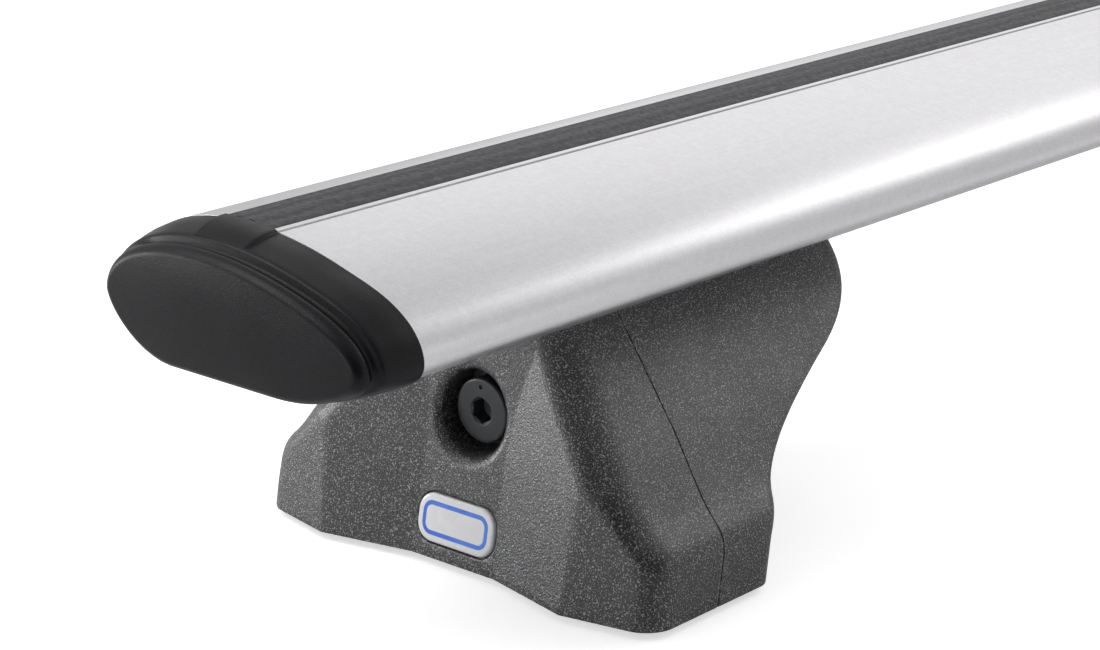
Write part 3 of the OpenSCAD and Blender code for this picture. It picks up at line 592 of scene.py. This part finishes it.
def addProfile():
    half = bar["length"] / 2
    outline = barOutline(bar["fineness"])
    piece = prismObject(outline, -half, half, "crossbarProfile")
    recessZ = bar["crown"] - bar["recessDepth"]
    lipZ = recessZ - bar["lip"]
    chamberZ = lipZ - bar["chamberHeight"]
    channelLipZ = -bar["belly"] + bar["channelLip"]
    channelTop = channelLipZ + bar["channelHeight"]
    s, wall, out, crown, low = bar["slotX"], bar["wall"], half + 5, bar["crown"], -bar["belly"]
    chamber, channel, opening = bar["chamberWidth"] / 2, bar["channelWidth"] / 2, bar["channelMouth"] / 2
    inner = prismObject(outline - wall * outlineNormals(outline), -out, out)
    coreTop = rectangle(s - chamber - wall, s + chamber + wall, chamberZ - wall, crown + 5)
    coreLow = rectangle(-channel - wall, channel + wall, low - 5, channelTop + wall)
    web = rectangle(s - wall / 2, s + wall / 2, channelTop + wall / 2, chamberZ - wall / 2)
    for section in (coreTop, coreLow, web):
        cutWith(inner, prismObject(section, -out - 5, out + 5))
    cutWith(piece, inner)
    mouth, recess = bar["mouth"] / 2, bar["recessWidth"] / 2
    slot = [
        (s - recess, crown + 4), (s - recess, recessZ), (s - mouth, recessZ), (s - mouth, lipZ),
        (s - chamber, lipZ), (s - chamber, chamberZ), (s + chamber, chamberZ), (s + chamber, lipZ),
        (s + mouth, lipZ), (s + mouth, recessZ), (s + recess, recessZ), (s + recess, crown + 4),
    ]
    lower = [
        (-opening, low - 4), (-opening, channelLipZ), (-channel, channelLipZ), (-channel, channelTop),
        (channel, channelTop), (channel, channelLipZ), (opening, channelLipZ), (opening, low - 4),
    ]
    seam = rectangle(seamX(), seamX() + bar["seam"], recessZ, crown + 4)
    for section in (slot, lower, seam):
        cutWith(piece, prismObject(section, -out, out))
    cleanMesh(piece)
    bevelEdges(piece, bar["edge"], 2, 50)
    smoothShade(piece.data, 30)
    markEdges(piece, 0.3)
    finishPiece(piece, "crossbar_profile", "aluminium_profile")


# shadeBead is the height of a dark rubber fill in the seam groove, put there as painted shade
strip = {
    "gap": 0.2, "proud": 0.7, "leg": 2.0, "barb": 0.9, "shadeBead": 0.55,
    "ridgeAt": -7.9, "ridgePitch": 4.3, "ridgeHeight": 0.16,
}


def stripSections():
    half = bar["recessWidth"] / 2 - strip["gap"]
    leg = bar["mouth"] / 2 - strip["gap"]
    recessZ = bar["crown"] - bar["recessDepth"]
    lipZ = recessZ - bar["lip"]
    xs = np.linspace(-half + 0.12, half - 0.1, 110)
    outline = barOutline(8)
    upper = outline[outline[:, 1] > 12]
    surface = np.interp(xs + bar["slotX"], upper[:, 0], upper[:, 1])
    wave = np.cos(2 * math.pi * (xs + bar["slotX"] - strip["ridgeAt"]) / strip["ridgePitch"])
    proud = strip["proud"] * (1 - 0.9 * ramp(xs, 0.1 * half, half)) + strip["ridgeHeight"] * (wave - 1) / 2
    top = surface + proud - 0.45 * ramp(-xs, 0.86 * half, half) - 0.12 * ramp(xs, 0.93 * half, half)
    seat, low, tip = recessZ + 0.05, lipZ - 0.3, lipZ - 2
    inside, web = leg - strip["leg"], recessZ - 0.4
    points = [(-half, seat), (-half, top[0] - 0.15)] + list(zip(xs, top))
    points += [(half, top[-1] - 0.1), (half, seat), (leg, seat), (leg, low)]
    points += [(leg + strip["barb"], low), (leg - 0.4, tip), (inside, tip), (inside, web)]
    points += [(-inside, web), (-inside, tip), (-leg + 0.4, tip)]
    points += [(-leg - strip["barb"], low), (-leg, low), (-leg, seat)]
    body = [(x + bar["slotX"], z + bar["noseZ"]) for x, z in points]
    # a dark rubber fill laid in the seam groove beside the strip is painted shade, so the groove reads black
    # like a shadowed gap
    x0, x1, floor = seamX() + 0.02, seamX() + bar["seam"] - 0.02, recessZ + 0.02
    high = floor + strip["shadeBead"]
    shadeBead = [(x0, floor), (x0, high), (x0 + 0.12, high + 0.1)]
    shadeBead += [(x1 - 0.12, high + 0.1), (x1, high), (x1, floor)]
    return body, [(x, z + bar["noseZ"]) for x, z in shadeBead]


def sectionObject(name, loops):
    # closed outlines for a sweep along Y in Geometry Nodes, which turns their Y downwards
    mesh = bpy.data.meshes.new(name)
    points, edges = [], []
    for loop in loops:
        first, count = len(points), len(loop)
        points += [(x * mm, -z * mm, 0) for x, z in loop]
        edges += [(first + i, first + (i + 1) % count) for i in range(count)]
    mesh.from_pydata(points, edges, [])
    return newObject(name, mesh)


def newGeometryTree(name, inputs):
    tree = bpy.data.node_groups.new(name, "GeometryNodeTree")
    tree.interface.new_socket(name="Geometry", in_out="INPUT", socket_type="NodeSocketGeometry")
    for label, kind in inputs.items():
        tree.interface.new_socket(name=label, in_out="INPUT", socket_type=kind)
    tree.interface.new_socket(name="Geometry", in_out="OUTPUT", socket_type="NodeSocketGeometry")
    return tree, tree.nodes.new("NodeGroupInput"), tree.nodes.new("NodeGroupOutput")


def finishTree(tree, into, out, geometry):
    real = addNode(tree, "GeometryNodeRealizeInstances", {"Geometry": geometry})
    painted = {"Geometry": real.outputs[0], "Material": into.outputs["Material"]}
    coloured = addNode(tree, "GeometryNodeSetMaterial", painted)
    tree.links.new(coloured.outputs[0], out.inputs["Geometry"])


def sweptAlong(tree, path, profile):
    values = {"Curve": path.outputs[0], "Profile Curve": profile.outputs[0], "Fill Caps": True}
    return addNode(tree, "GeometryNodeCurveToMesh", values).outputs[0]


def sweepTree():
    # sweeps a section along a straight line of the given length, in the middle of Y
    tree, into, out = newGeometryTree("stripSweep", {
        "Section": "NodeSocketObject", "Length": "NodeSocketFloat", "Material": "NodeSocketMaterial"})
    half = math2(tree, "MULTIPLY", into.outputs["Length"], 0.5)
    start = addNode(tree, "ShaderNodeCombineXYZ", {"Y": math2(tree, "MULTIPLY", half, -1.0)})
    end = addNode(tree, "ShaderNodeCombineXYZ", {"Y": half})
    line = addNode(tree, "GeometryNodeCurvePrimitiveLine", {"Start": start.outputs[0], "End": end.outputs[0]})
    info = addNode(tree, "GeometryNodeObjectInfo", {"Object": into.outputs["Section"]})
    outline = addNode(tree, "GeometryNodeMeshToCurve", {"Mesh": info.outputs["Geometry"]})
    finishTree(tree, into, out, sweptAlong(tree, line, outline))
    return tree


def runTree(name, tree, values):
    piece = newObject(name, bpy.data.meshes.new(name))
    modifier = piece.modifiers.new("tree", "NODES")
    modifier.node_group = tree
    for item in tree.interface.items_tree:
        if item.in_out == "INPUT" and item.name in values:
            modifier[item.identifier] = values[item.name]
    bakeModifiers(piece)
    return piece


def turnOutwards(piece):
    work = bmesh.new()
    work.from_mesh(piece.data)
    bmesh.ops.remove_doubles(work, verts=work.verts, dist=0.001 * mm)
    bmesh.ops.recalc_face_normals(work, faces=work.faces)
    facesOut(work)
    work.to_mesh(piece.data)
    work.free()


def addStrip():
    section = sectionObject("stripSection", stripSections())
    values = {"Section": section, "Length": bar["length"] * mm, "Material": paint["slot_rubber"]}
    piece = runTree("slotStrip", sweepTree(), values)
    bpy.data.objects.remove(section)
    turnOutwards(piece)
    smoothShade(piece.data, 40)
    finishPiece(piece, "slot_strip", "slot_rubber")


cap = {
    "length": 16.5, "dome": 1.2, "front": 3.6, "proud": 0.8, "under": 0.4,
    "grooveWidth": 2.8, "grooveRise": 0.9, "grooveDepth": 1.5,
    "neck": 0.38, "lip": 2.6, "plugLength": 26, "plugGap": 0.25, "fineness": 3,
    "faceAt": (0.5, -0.58), "faceScale": (0.938, 0.865), "centre": (0.5, 5),
}


def capPoints(outline, normals, s, inset, groove):
    proud = cap["proud"] * (1 - ramp(outline[:, 1], 12, 19))
    collar = np.where(outline[:, 1] < -bar["belly"] + 0.4, cap["under"], proud)
    belly = np.where(outline[:, 1] > 2, 1, ramp(outline[:, 0], 34, 41))
    depth = groove * belly * ramp(outline[:, 0], -38, -28)
    q = outline + normals * (collar * (1 - s))[:, None]
    face = np.array(cap["faceAt"]) + q * np.array(cap["faceScale"])
    return q + s * (face - q) - normals * (inset + depth)[:, None]


def addCap():
    outline = barOutline(cap["fineness"])
    normals = outlineNormals(outline)
    low = cap["length"] - cap["front"] - cap["grooveWidth"]
    w, deep, neck = cap["grooveWidth"] + cap["grooveRise"], cap["grooveDepth"], cap["neck"]
    stations = [  # share of the way to the face's outline, inset, groove, distance from the joint
        (0, 0.14, 0, 0), (0, 0.14, 0, neck), (0, 0.02, 0, neck + 0.02), (0.01, 0, 0, neck + 0.12),
        (0.05, 0, 0, 0.18 * low), (0.1, 0, 0, 0.35 * low), (0.21, 0, 0, 0.55 * low), (0.35, 0, 0, 0.75 * low),
        (0.43, 0, 0, 0.88 * low), (0.48, 0, 0.02 * deep, 0.97 * low),
    ]
    for t in np.linspace(0.06, 1, 16):  # the groove: a quick fall, a round floor and a soft rise
        fall = ramp(t, 0, 0.36) * (1 - ramp(t, 0.42, 1.0))
        stations.append((0.5 + 0.42 * t, 0, deep * fall, low + t * w))
    for a in np.linspace(6, 84, 12):  # the broad round lip of the face
        k = math.radians(a)
        inset = cap["lip"] * 0.9 * (1 - math.cos(k))
        stations.append((0.92 + 0.08 * min(1, a / 40), inset, 0, low + w + cap["lip"] * math.sin(k)))
    rings = []
    for s, inset, groove, y in stations:
        p = capPoints(outline, normals, s, inset, groove)
        rings.append(np.c_[p[:, 0], np.full(len(p), -y), p[:, 1]])
    rim = rings[-1]
    centre = np.array([cap["centre"][0], 0, cap["centre"][1]])
    for k in (0.985, 0.95, 0.88, 0.78, 0.64, 0.48, 0.3, 0.12):
        ring = centre + k * (rim - centre)
        ring[:, 1] = rim[:, 1] - (cap["length"] + cap["dome"] + rim[0, 1]) * (1 - k**2.2)
        rings.append(ring)
    shift = np.array([0, -bar["length"] / 2, bar["noseZ"]])
    piece = addObject("leftEndCap", *loft([r + shift for r in rings]))
    cutWith(piece, addObject("pad", *loft(padRings(low, shift))), "UNION")
    for plug in plugPieces():
        cutWith(piece, plug, "UNION")
    cleanMesh(piece, 38)
    markEdges(piece, 0.22)
    finishPair(piece, "end_cap", "cap_plastic")


def padRings(low, shift):
    # the raised pad in line with the strip, from the recess's far edge to the seam
    far, near = -bar["recessWidth"] / 2 + strip["gap"], seamX() + bar["seam"] - bar["slotX"]
    rings = []
    for t in np.linspace(0, 1, 14):
        s, h = 0.5 * t * t, strip["proud"] * (1 - t**3)
        q = [(far - 0.5, -3), (far - 0.28, -0.3), (far - 0.04, h - 0.6)]
        q += [(far + 0.12, h - 0.25), (far + 0.45, h - 0.03)]
        across = np.linspace(far + 0.9, near - 1.1, 26)
        q += [(x, h - 0.02 - 0.72 * float(ramp(x, -1, near + 1.5))) for x in across]
        q += [(near - 0.7, h - 0.72), (near - 0.3, h - 0.88), (near, h - 1.12)]
        q += [(near + 0.35, h - 1.45), (near + 0.9, -1.9), (near + 1.0, -4)]
        xz = np.array(q) + np.array([bar["slotX"], bar["crown"]])
        xz += s * (np.array(cap["faceAt"]) + xz * np.array(cap["faceScale"]) - xz)
        y = -cap["neck"] - t * (low - cap["neck"])
        rings.append(np.c_[xz[:, 0], np.full(len(xz), y), xz[:, 1]] + shift)
    return rings


def plugPieces():
    outline = barOutline(2)
    grown = outline - (bar["wall"] + cap["plugGap"]) * outlineNormals(outline)
    start = -bar["length"] / 2
    pieces = []
    for side in (-1, 1):
        slotSide = abs(bar["slotX"] + side * (bar["chamberWidth"] / 2 + bar["wall"]))
        inner = max(slotSide, bar["channelWidth"] / 2 + bar["wall"]) + cap["plugGap"]
        plug = prismObject(grown, start - 3, start + cap["plugLength"], "plug")
        keep = rectangle(*sorted((side * inner, side * 60)), -30, 40)
        cutWith(plug, prismObject(keep, start - 10, start + cap["plugLength"] + 10), "INTERSECT")
        pieces.append(plug)
    return pieces


addProfile()
print("profile made")
addStrip()
print("strip made")
addCap()
print("end caps made")


# Foot: two moulded covers on a leaning outline, the badge and the security screw

foot = {
    "inset": 73.8, "height": 60.8, "ground": 1.7, "lean": 0.187,
    "baseHalf": 62.4, "topHalf": 22.3, "skirt": 15.6,
    "panelY": 21.9, "panelHalf": 12.5, "panelFlare": 8, "flareFrom": 25, "wingSlope": 0.225,
    "toeX": 38.3, "toeHeight": 28, "toeSlope": 0.2,
    "corner": 8, "toeRadius": 2, "swell": 2, "heelY": 21, "noseY": 85.5, "sweepHeight": 40.1, "heelRadius": 5,
    "sweepFoot": 10.5, "sweepSlope": 2.84, "sweepShare": 0.668,
    "hollow": 1.3, "hollowAt": 22, "sideBlend": 3.4, "draft": 0.02,
    "shell": 2.6, "barGap": 0.8, "jointGap": 0.3, "edge": 0.4, "jointEdge": 0.35,
}
footY = -bar["length"] / 2 + foot["inset"]
coverTop = foot["height"] - foot["barGap"]


def placeFoot(points):
    return np.asarray(points, float) + np.array([0, footY, foot["ground"]])


def smoothMin(a, b, k):
    h = max(k - abs(a - b), 0) / k
    return min(a, b) - h * h * k / 4


def sideX(z):
    slope = (foot["baseHalf"] - foot["topHalf"] - 0.3) / (coverTop - foot["skirt"])
    start, deepest = foot["skirt"] - 1, foot["hollowAt"]
    hollow = foot["hollow"] * float(ramp(z, start, deepest) - ramp(z, deepest, deepest + 16))
    skirt = foot["baseHalf"] - foot["draft"] * z
    return smoothMin(skirt, foot["topHalf"] + (coverTop - z) * slope - hollow, foot["sideBlend"])


def creaseX(z):
    start = foot["flareFrom"]
    flare = foot["panelFlare"] * max(0, (z - start) / (coverTop - start)) ** 2
    return foot["panelHalf"] + flare + 0.03 * max(0, start - z)


def cornerRadius(z):
    return foot["corner"] + foot["swell"] * float(ramp(z, 4, 20) - ramp(z, coverTop - 16, coverTop))


def toeRadius(z):
    return foot["toeRadius"] + (cornerRadius(z) - foot["toeRadius"]) * min(1, max(0, z / 24))


def hermite(t, a, ma, b, mb):
    return (2*t**3 - 3*t*t + 1) * a + (t**3 - 2*t*t + t) * ma + (3*t*t - 2*t**3) * b + (t**3 - t*t) * mb


def heelAt(z):
    start, turn, top = foot["sweepFoot"], foot["sweepHeight"], coverTop - 1.6
    middle = foot["heelY"] + foot["sweepShare"] * (foot["noseY"] - foot["heelY"])
    if z < start:
        return foot["heelY"]
    slope = foot["sweepSlope"]
    if z < turn:
        return hermite((z - start) / (turn - start), foot["heelY"], 0, middle, slope * (turn - start))
    return hermite(min(1, (z - turn) / (top - turn)), middle, slope * (top - turn), foot["noseY"], 0)


def levelWall(w, slope):
    return w * math.sqrt(1 + slope * slope)


def raised(c, m, d):
    return c + d * math.sqrt(1 + m * m)


def meet(c0, m0, c1, m1):
    x = (c1 - c0) / (m0 - m1)
    return x, c0 + m0 * x


def leant(points, z):
    return np.array([(x, y + foot["lean"] * z, z) for x, y in points])


jointSteps = (0.04, 0.15, 0.3, 0.45, 0.6, 0.75, 0.9)
wingSteps = (0.03, 0.12, 0.25, 0.38, 0.5, 0.62, 0.75, 0.88, 0.97)


def outerHalf(z, w, back, bevel):
    side, r0, m = sideX(z), cornerRadius(z), foot["wingSlope"]
    s = side - levelWall(w, side - sideX(z + 1))
    r, ra = max(r0 - w, 1.2), max(toeRadius(z) - w, 1)
    turn = math.degrees(math.asin(min(1, max(0, (side - r0 - creaseX(z)) / r0))))
    wingM = min(m, math.tan(math.radians(min(turn, 45))))
    wingA = -90 - math.degrees(math.atan(wingM))
    c = min(creaseX(z), side - r0 * (1 + math.sin(math.atan(wingM))) - 0.8)
    toeAt = foot["toeX"] + 2 * z / foot["toeHeight"]
    wingC = raised(-foot["panelY"] + wingM * c, wingM, w)
    toeC = raised(-foot["panelY"] - wingM * (toeAt - c) - foot["toeSlope"] * toeAt, foot["toeSlope"], w)
    a0 = meet(raised(wingC, wingM, ra), -wingM, raised(toeC, foot["toeSlope"], ra), foot["toeSlope"])
    b0 = (s - r, raised(toeC, foot["toeSlope"], r) + foot["toeSlope"] * (s - r))
    both = (s - r, raised(wingC, wingM, r) - wingM * (s - r))
    toeA = -90 + math.degrees(math.atan(foot["toeSlope"]))
    if a0[0] > b0[0]:
        corner = arc(both, r, 0, wingA, 16 + 8 + 6)
    else:
        first, second = arc(b0, r, 0, toeA, 16), arc(a0, ra, toeA, wingA, 8)
        corner = first + between(first[-1], second[0], np.linspace(0, 1, 7)[1:-1]) + second
    k = 0.25 * bevel
    start = [(s - bevel, back), (s - k, back - k), (s, back - bevel)] if bevel else [(s, back)]
    crease = (min(c, corner[-1][0] - 0.8), -foot["panelY"] + w)
    points = start + between(start[-1], corner[0], jointSteps) + corner
    points += between(corner[-1], crease, wingSteps) + [crease]
    return points + between(crease, (0, crease[1]), (0.05, 0.2, 0.4, 0.6, 0.8))


def outerRing(z, w, back, bevel=0.0):
    half = outerHalf(z, w, back, bevel)
    return placeFoot(leant(half + [(0, -foot["panelY"] + w)] + [(-x, y) for x, y in reversed(half)], z))


def innerHalf(z, w, front, bevel):
    side = sideX(z)
    s = side - levelWall(w, side - sideX(z + 1))
    r = max(foot["heelRadius"] - w, 1)
    slope = heelAt(z + 0.5) - heelAt(z - 0.5)
    heel = heelAt(z) - levelWall(w, slope)
    corner = arc((s - r, heel - r), r, 90, 0, 14)
    k = 0.25 * bevel
    end = [(s, front + bevel), (s - k, front + k), (s - bevel, front)] if bevel else [(s, front)]
    return corner + between(corner[-1], end[0], np.linspace(0, 1, 12)[1:-1]) + end


def innerRing(z, w, front, bevel=0.0):
    half = innerHalf(z, w, front, bevel)
    flat = between((0, half[0][1]), half[0], np.linspace(0, 1, 9)[1:-1])
    run = flat + half
    return placeFoot(leant([(0, half[0][1])] + run + [(-x, y) for x, y in reversed(run)], z))


def coverHeights():
    edge = foot["edge"]
    spans = ((edge, 11, 9), (11, 20, 13), (20, 44, 19), (44, coverTop, 17))
    body = np.unique(np.round(np.concatenate([np.linspace(*span) for span in spans]), 4))
    return [(0, edge), (0.25 * edge, 0.25 * edge)] + [(z, 0) for z in body]


# places along the security screw, in the foot's own frame
screw = {
    "height": 35.7, "recess": 20.4, "rim": 2.6, "discDepth": 3.9, "disc": 15.8, "discThick": 6.4, "key": 5.6,
    "keyDepth": 5, "shank": 6, "shankLength": 20, "faceGap": 0.3, "pitch": 1.0, "plain": 5, "dimple": 0.62,
}
panelAtScrew = -foot["panelY"] + foot["lean"] * screw["height"]
discFront = panelAtScrew + screw["discDepth"]
floorFront = discFront + screw["discThick"] + screw["faceGap"]
floorBack = floorFront + 2

badge = {
    "width": 24.2, "height": 11.8, "radius": 4.6, "thick": 1.5, "proud": 0.6, "z": 9.8,
    "gap": 0.45, "dome": 0.35, "lip": 0.3,
}


def roundOf(radius, place, count=96):
    # ring round the screw's axis, with one radius or one for each point; place gives y from x and z
    angles = np.linspace(0, 2 * math.pi, count, endpoint=False)
    x, z = radius * np.cos(angles), screw["height"] + radius * np.sin(angles)
    return np.c_[x, place(x, z), z]


def onPanelPlane(depth):
    return lambda x, z: -foot["panelY"] + foot["lean"] * z + depth


def atY(y):
    return lambda x, z: np.full(len(x), float(y))


def roundedBox(width, height, radius, steps=8):
    corners = ((1, 1, 0), (-1, 1, 90), (-1, -1, 180), (1, -1, 270))
    points = []
    for sx, sy, a in corners:
        points += arc((sx * (width / 2 - radius), sy * (height / 2 - radius)), radius, a, a + 90, steps)
    return points


def onPanel(points, depth, z0):
    # from the panel's own plane (across, up, out) into the foot's frame
    tilt = math.atan(foot["lean"])
    out = []
    for x, v in points:
        y = math.sin(tilt) * v - math.cos(tilt) * depth
        z = math.cos(tilt) * v + math.sin(tilt) * depth
        out.append((x, -foot["panelY"] + foot["lean"] * z0 + y, z0 + z))
    return placeFoot(out)


def badgeRing(grow, depth, least=0.1):
    # the badge's outline, grown or shrunk, at a depth off the panel
    width, height = badge["width"] + 2 * grow, badge["height"] + 2 * grow
    return onPanel(roundedBox(width, height, max(badge["radius"] + grow, least)), depth, badge["z"])


def lathe(rings, name="cutter"):
    return addObject(name, *loft([placeFoot(r) for r in rings]))


def coverShell(name, ringAt, joint, past):
    # one half of the housing, hollowed from past the joint and past both ends
    heights = coverHeights()
    piece = addObject(name, *loft([ringAt(z, w, joint, foot["jointEdge"]) for z, w in heights]))
    levels = [-1] + [z for z, w in heights[2:-1]] + [coverTop + 1]
    cutWith(piece, addObject("inside", *loft([ringAt(z, foot["shell"], past) for z in levels])))
    return piece


def addOuterCovers():
    piece = coverShell("leftOuterCover", outerRing, -foot["jointGap"] / 2, 1)
    cup = screw["recess"] / 2 + 2
    cutWith(piece, lathe([roundOf(cup, onPanelPlane(0.6)), roundOf(cup, atY(floorBack))], "cup"), "UNION")
    boss = loft([badgeRing(2, -0.6), badgeRing(2, -badge["thick"] - 1.6)])
    cutWith(piece, addObject("boss", *boss), "UNION")
    r, rim = screw["recess"] / 2, screw["rim"]
    rings = [roundOf(r + rim, onPanelPlane(-3)), roundOf(r + rim, onPanelPlane(-0.5))]
    for a in np.linspace(90, 0, 10):  # soft lip of the recess, tangent to the panel
        k = math.radians(a)
        rings.append(roundOf(r + rim * (1 - math.cos(k)), onPanelPlane(rim * (1 - math.sin(k)))))
    rings.append(roundOf(r, atY(floorFront)))
    cutWith(piece, lathe(rings))
    bore = screw["shank"] / 2 + 0.05
    cutWith(piece, lathe([roundOf(bore, atY(floorFront - 1), 48), roundOf(bore, atY(floorBack + 1), 48)]))
    lip, gap = badge["lip"], badge["gap"]
    rim = ((lip, 1.0), (lip, 0.02), (lip * 0.62, -0.04), (lip * 0.3, -0.16), (lip * 0.08, -0.32), (0, -0.5))
    pocket = [badgeRing(gap + grow, depth) for grow, depth in rim]
    pocket.append(badgeRing(gap, badge["proud"] - badge["thick"] - 0.3))
    cutWith(piece, addObject("pocket", *loft(pocket)))
    cleanMesh(piece, 33)
    markEdges(piece, 0.35)
    finishPair(piece, "outer_cover", "cover_plastic")


cover = {"screwX": 8, "screwZ": 20.3, "screwRadius": 1.75, "screwLength": 10, "web": 5, "boss": 3.8}


def ringAtScrew(x, y, radius, count):
    steps = arc((0, 0), radius, 0, 360 - 360 / count, count - 1)
    return placeFoot([(x + px, y, cover["screwZ"] + pz) for px, pz in steps])


def addInnerCovers():
    piece = coverShell("leftInnerCover", innerRing, foot["jointGap"] / 2, -1)
    rear = foot["heelY"] - foot["shell"] - 5.5
    start = rear + cover["web"] + 0.3
    stop = heelAt(cover["screwZ"]) + foot["lean"] * cover["screwZ"] - 1
    holeEnd = start - 0.3 + cover["screwLength"] - cover["web"] + 0.5
    for x in (-cover["screwX"], cover["screwX"]):
        chamfered = ((cover["boss"] - 0.3, start), (cover["boss"], start + 0.3), (cover["boss"], stop))
        rings = [ringAtScrew(x, y, radius, 48) for radius, y in chamfered]
        cutWith(piece, addObject("boss", *loft(rings)), "UNION")
        hole = [ringAtScrew(x, y, cover["screwRadius"], 24) for y in (start - 1, holeEnd)]
        cutWith(piece, addObject("hole", *loft(hole)))
    cleanMesh(piece, 33)
    markEdges(piece, 0.35)
    finishPair(piece, "inner_cover", "cover_plastic")


def addBadges():
    top, span = badge["proud"], badge["height"] / 2
    edge = ((0, top - badge["thick"]), (0, top - 0.75), (0.04, top - 0.55))
    edge += ((0.15, top - 0.36), (0.34, top - 0.2), (0.6, top - 0.1))
    rings = [badgeRing(-inset, depth) for inset, depth in edge]
    insets = [inset for inset, depth in edge]
    for inset in np.linspace(0.9, 5.6, 24):
        depth = top - 0.1 + badge["dome"] * (1 - ((span - inset) / span) ** 2) * 0.28
        rings.append(badgeRing(-inset, depth, 0.12))
        insets.append(inset)
    piece = addObject("leftBadge", *loft(rings), smoothAngle=50)
    size = len(rings[0])
    layer = piece.data.attributes.new("insetMm", "FLOAT", "POINT")
    layer.data.foreach_set("value", np.repeat(insets, size).astype(np.float32))
    markEdges(piece, 0.2)
    finishPair(piece, "badge", "badge_plastic")


def hexRadius(angles, flats):
    sixth = math.pi / 3
    return flats / 2 / np.cos((angles + sixth / 2) % sixth - sixth / 2)


def helixTree():
    # one raised thread: a small square ridge swept along a spiral
    tree, into, out = newGeometryTree("threadHelix", {
        "Radius": "NodeSocketFloat", "Turns": "NodeSocketFloat", "Height": "NodeSocketFloat",
        "Depth": "NodeSocketFloat", "Material": "NodeSocketMaterial"})
    radius = into.outputs["Radius"]
    spiral = addNode(tree, "GeometryNodeCurveSpiral", {
        "Resolution": 32, "Rotations": into.outputs["Turns"], "Start Radius": radius, "End Radius": radius,
        "Height": into.outputs["Height"]})
    ring = {"Resolution": 4, "Radius": into.outputs["Depth"]}
    ridge = addNode(tree, "GeometryNodeCurvePrimitiveCircle", ring)
    finishTree(tree, into, out, sweptAlong(tree, spiral, ridge))
    return tree


def threadMesh(tree, radius, length, pitch, slot, place, turn):
    # crest on the given radius; place and turn take the spiral's own Z axis to the screw's
    depth = 0.42 * pitch
    values = {
        "Radius": (radius - depth) * mm, "Turns": length / pitch, "Height": length * mm, "Depth": depth * mm,
        "Material": paint[slot],
    }
    piece = runTree("thread", tree, values)
    piece.data.transform(Matrix.Translation(Vector(place) * mm) @ turn)
    turnOutwards(piece)
    points = np.array([v.co for v in piece.data.vertices]) / mm
    faces = [tuple(p.vertices) for p in piece.data.polygons]
    bpy.data.objects.remove(piece)
    return points, faces


def addScrews(tree):
    angles = np.linspace(0, 2 * math.pi, 96, endpoint=False)
    key = hexRadius(angles, screw["key"])
    mouth = screw["key"] / 2 / math.cos(math.radians(30)) + 0.12
    r, y, shank = screw["disc"] / 2, discFront, screw["shank"] / 2
    root, floor = shank - 0.4, y + screw["keyDepth"]
    back = y + screw["discThick"]
    end = back + screw["shankLength"]
    steps = [  # radius and y, from the bottom of the key hole over the disc to the end of the shank
        (key * 0.2, floor - 0.1), (key, floor - 0.9), (key, y + 1.2), (key, y + 0.45),
        (np.maximum(key, mouth - 0.3), y + 0.3), (np.maximum(key, mouth - 0.08), y + 0.14),
        (np.maximum(key, mouth), y + 0.05), (mouth + 0.1, y), (mouth + 0.5, y), (r * 0.72, y), (r - 1.1, y),
        (r - 0.62, y + 0.015), (r - 0.42, y + 0.06), (r - 0.2, y + 0.17), (r - 0.06, y + 0.36),
        (r, y + 0.62), (r, y + 2), (r, back - 0.4), (r - 0.4, back), (root + 0.6, back), (shank, back + 0.3),
        (shank, back + 4), (root, back + 4.5), (root, end - 0.8), (root - 0.8, end),
    ]
    piece = lathe([roundOf(radius, atY(at)) for radius, at in steps], "leftSecurityScrew")
    ball = bmesh.new()
    bmesh.ops.create_uvsphere(ball, u_segments=24, v_segments=12, radius=screw["dimple"] * mm)
    mesh = bpy.data.meshes.new("dimple")
    centre = placeFoot([(0, y + 0.1, screw["height"] + r - 2)])[0] * mm
    ball.transform(Matrix.Translation(Vector(centre)))
    ball.to_mesh(mesh)
    ball.free()
    cutWith(piece, newObject("dimple", mesh))
    length = screw["shankLength"] - screw["plain"] - 1
    place = placeFoot([(0, back + screw["plain"], screw["height"])])[0]
    turn = Matrix.Rotation(math.radians(-90), 4, "X")
    thread = threadMesh(tree, shank, length, screw["pitch"], "black_steel", place, turn)
    body = ([tuple(v.co / mm) for v in piece.data.vertices], [tuple(p.vertices) for p in piece.data.polygons])
    bpy.data.objects.remove(piece)
    piece = addObject("leftSecurityScrew", *joined([body, thread]), smoothAngle=30)
    markEdges(piece, 0.25)
    finishPair(piece, "security_screw", "black_steel")


addOuterCovers()
print("outer covers made")
addInnerCovers()
print("inner covers made")
addBadges()
helix = helixTree()
addScrews(helix)
print("badges and screws made")


# Pieces that keep their solids get their finish

kept = {
    "channel_nut": "zinc_steel", "clamp_bolts": "black_steel", "base_plate": "zinc_steel",
    "plate_screws": "zinc_steel", "inner_cover_screws": "zinc_steel", "screw_clip": "zinc_steel",
    "foot_bracket": "cast_bracket", "roof_pad": "pad_rubber", "screw_insert": "insert_brass",
}
for side in ("left", "right"):
    for ending, slot in kept.items():
        node = frame["nodes"][f"{side}_{ending}"]
        for place in node.material_slots:
            place.material = paint[slot]
        if not node.material_slots:
            node.data.materials.append(paint[slot])
print("kept pieces finished")
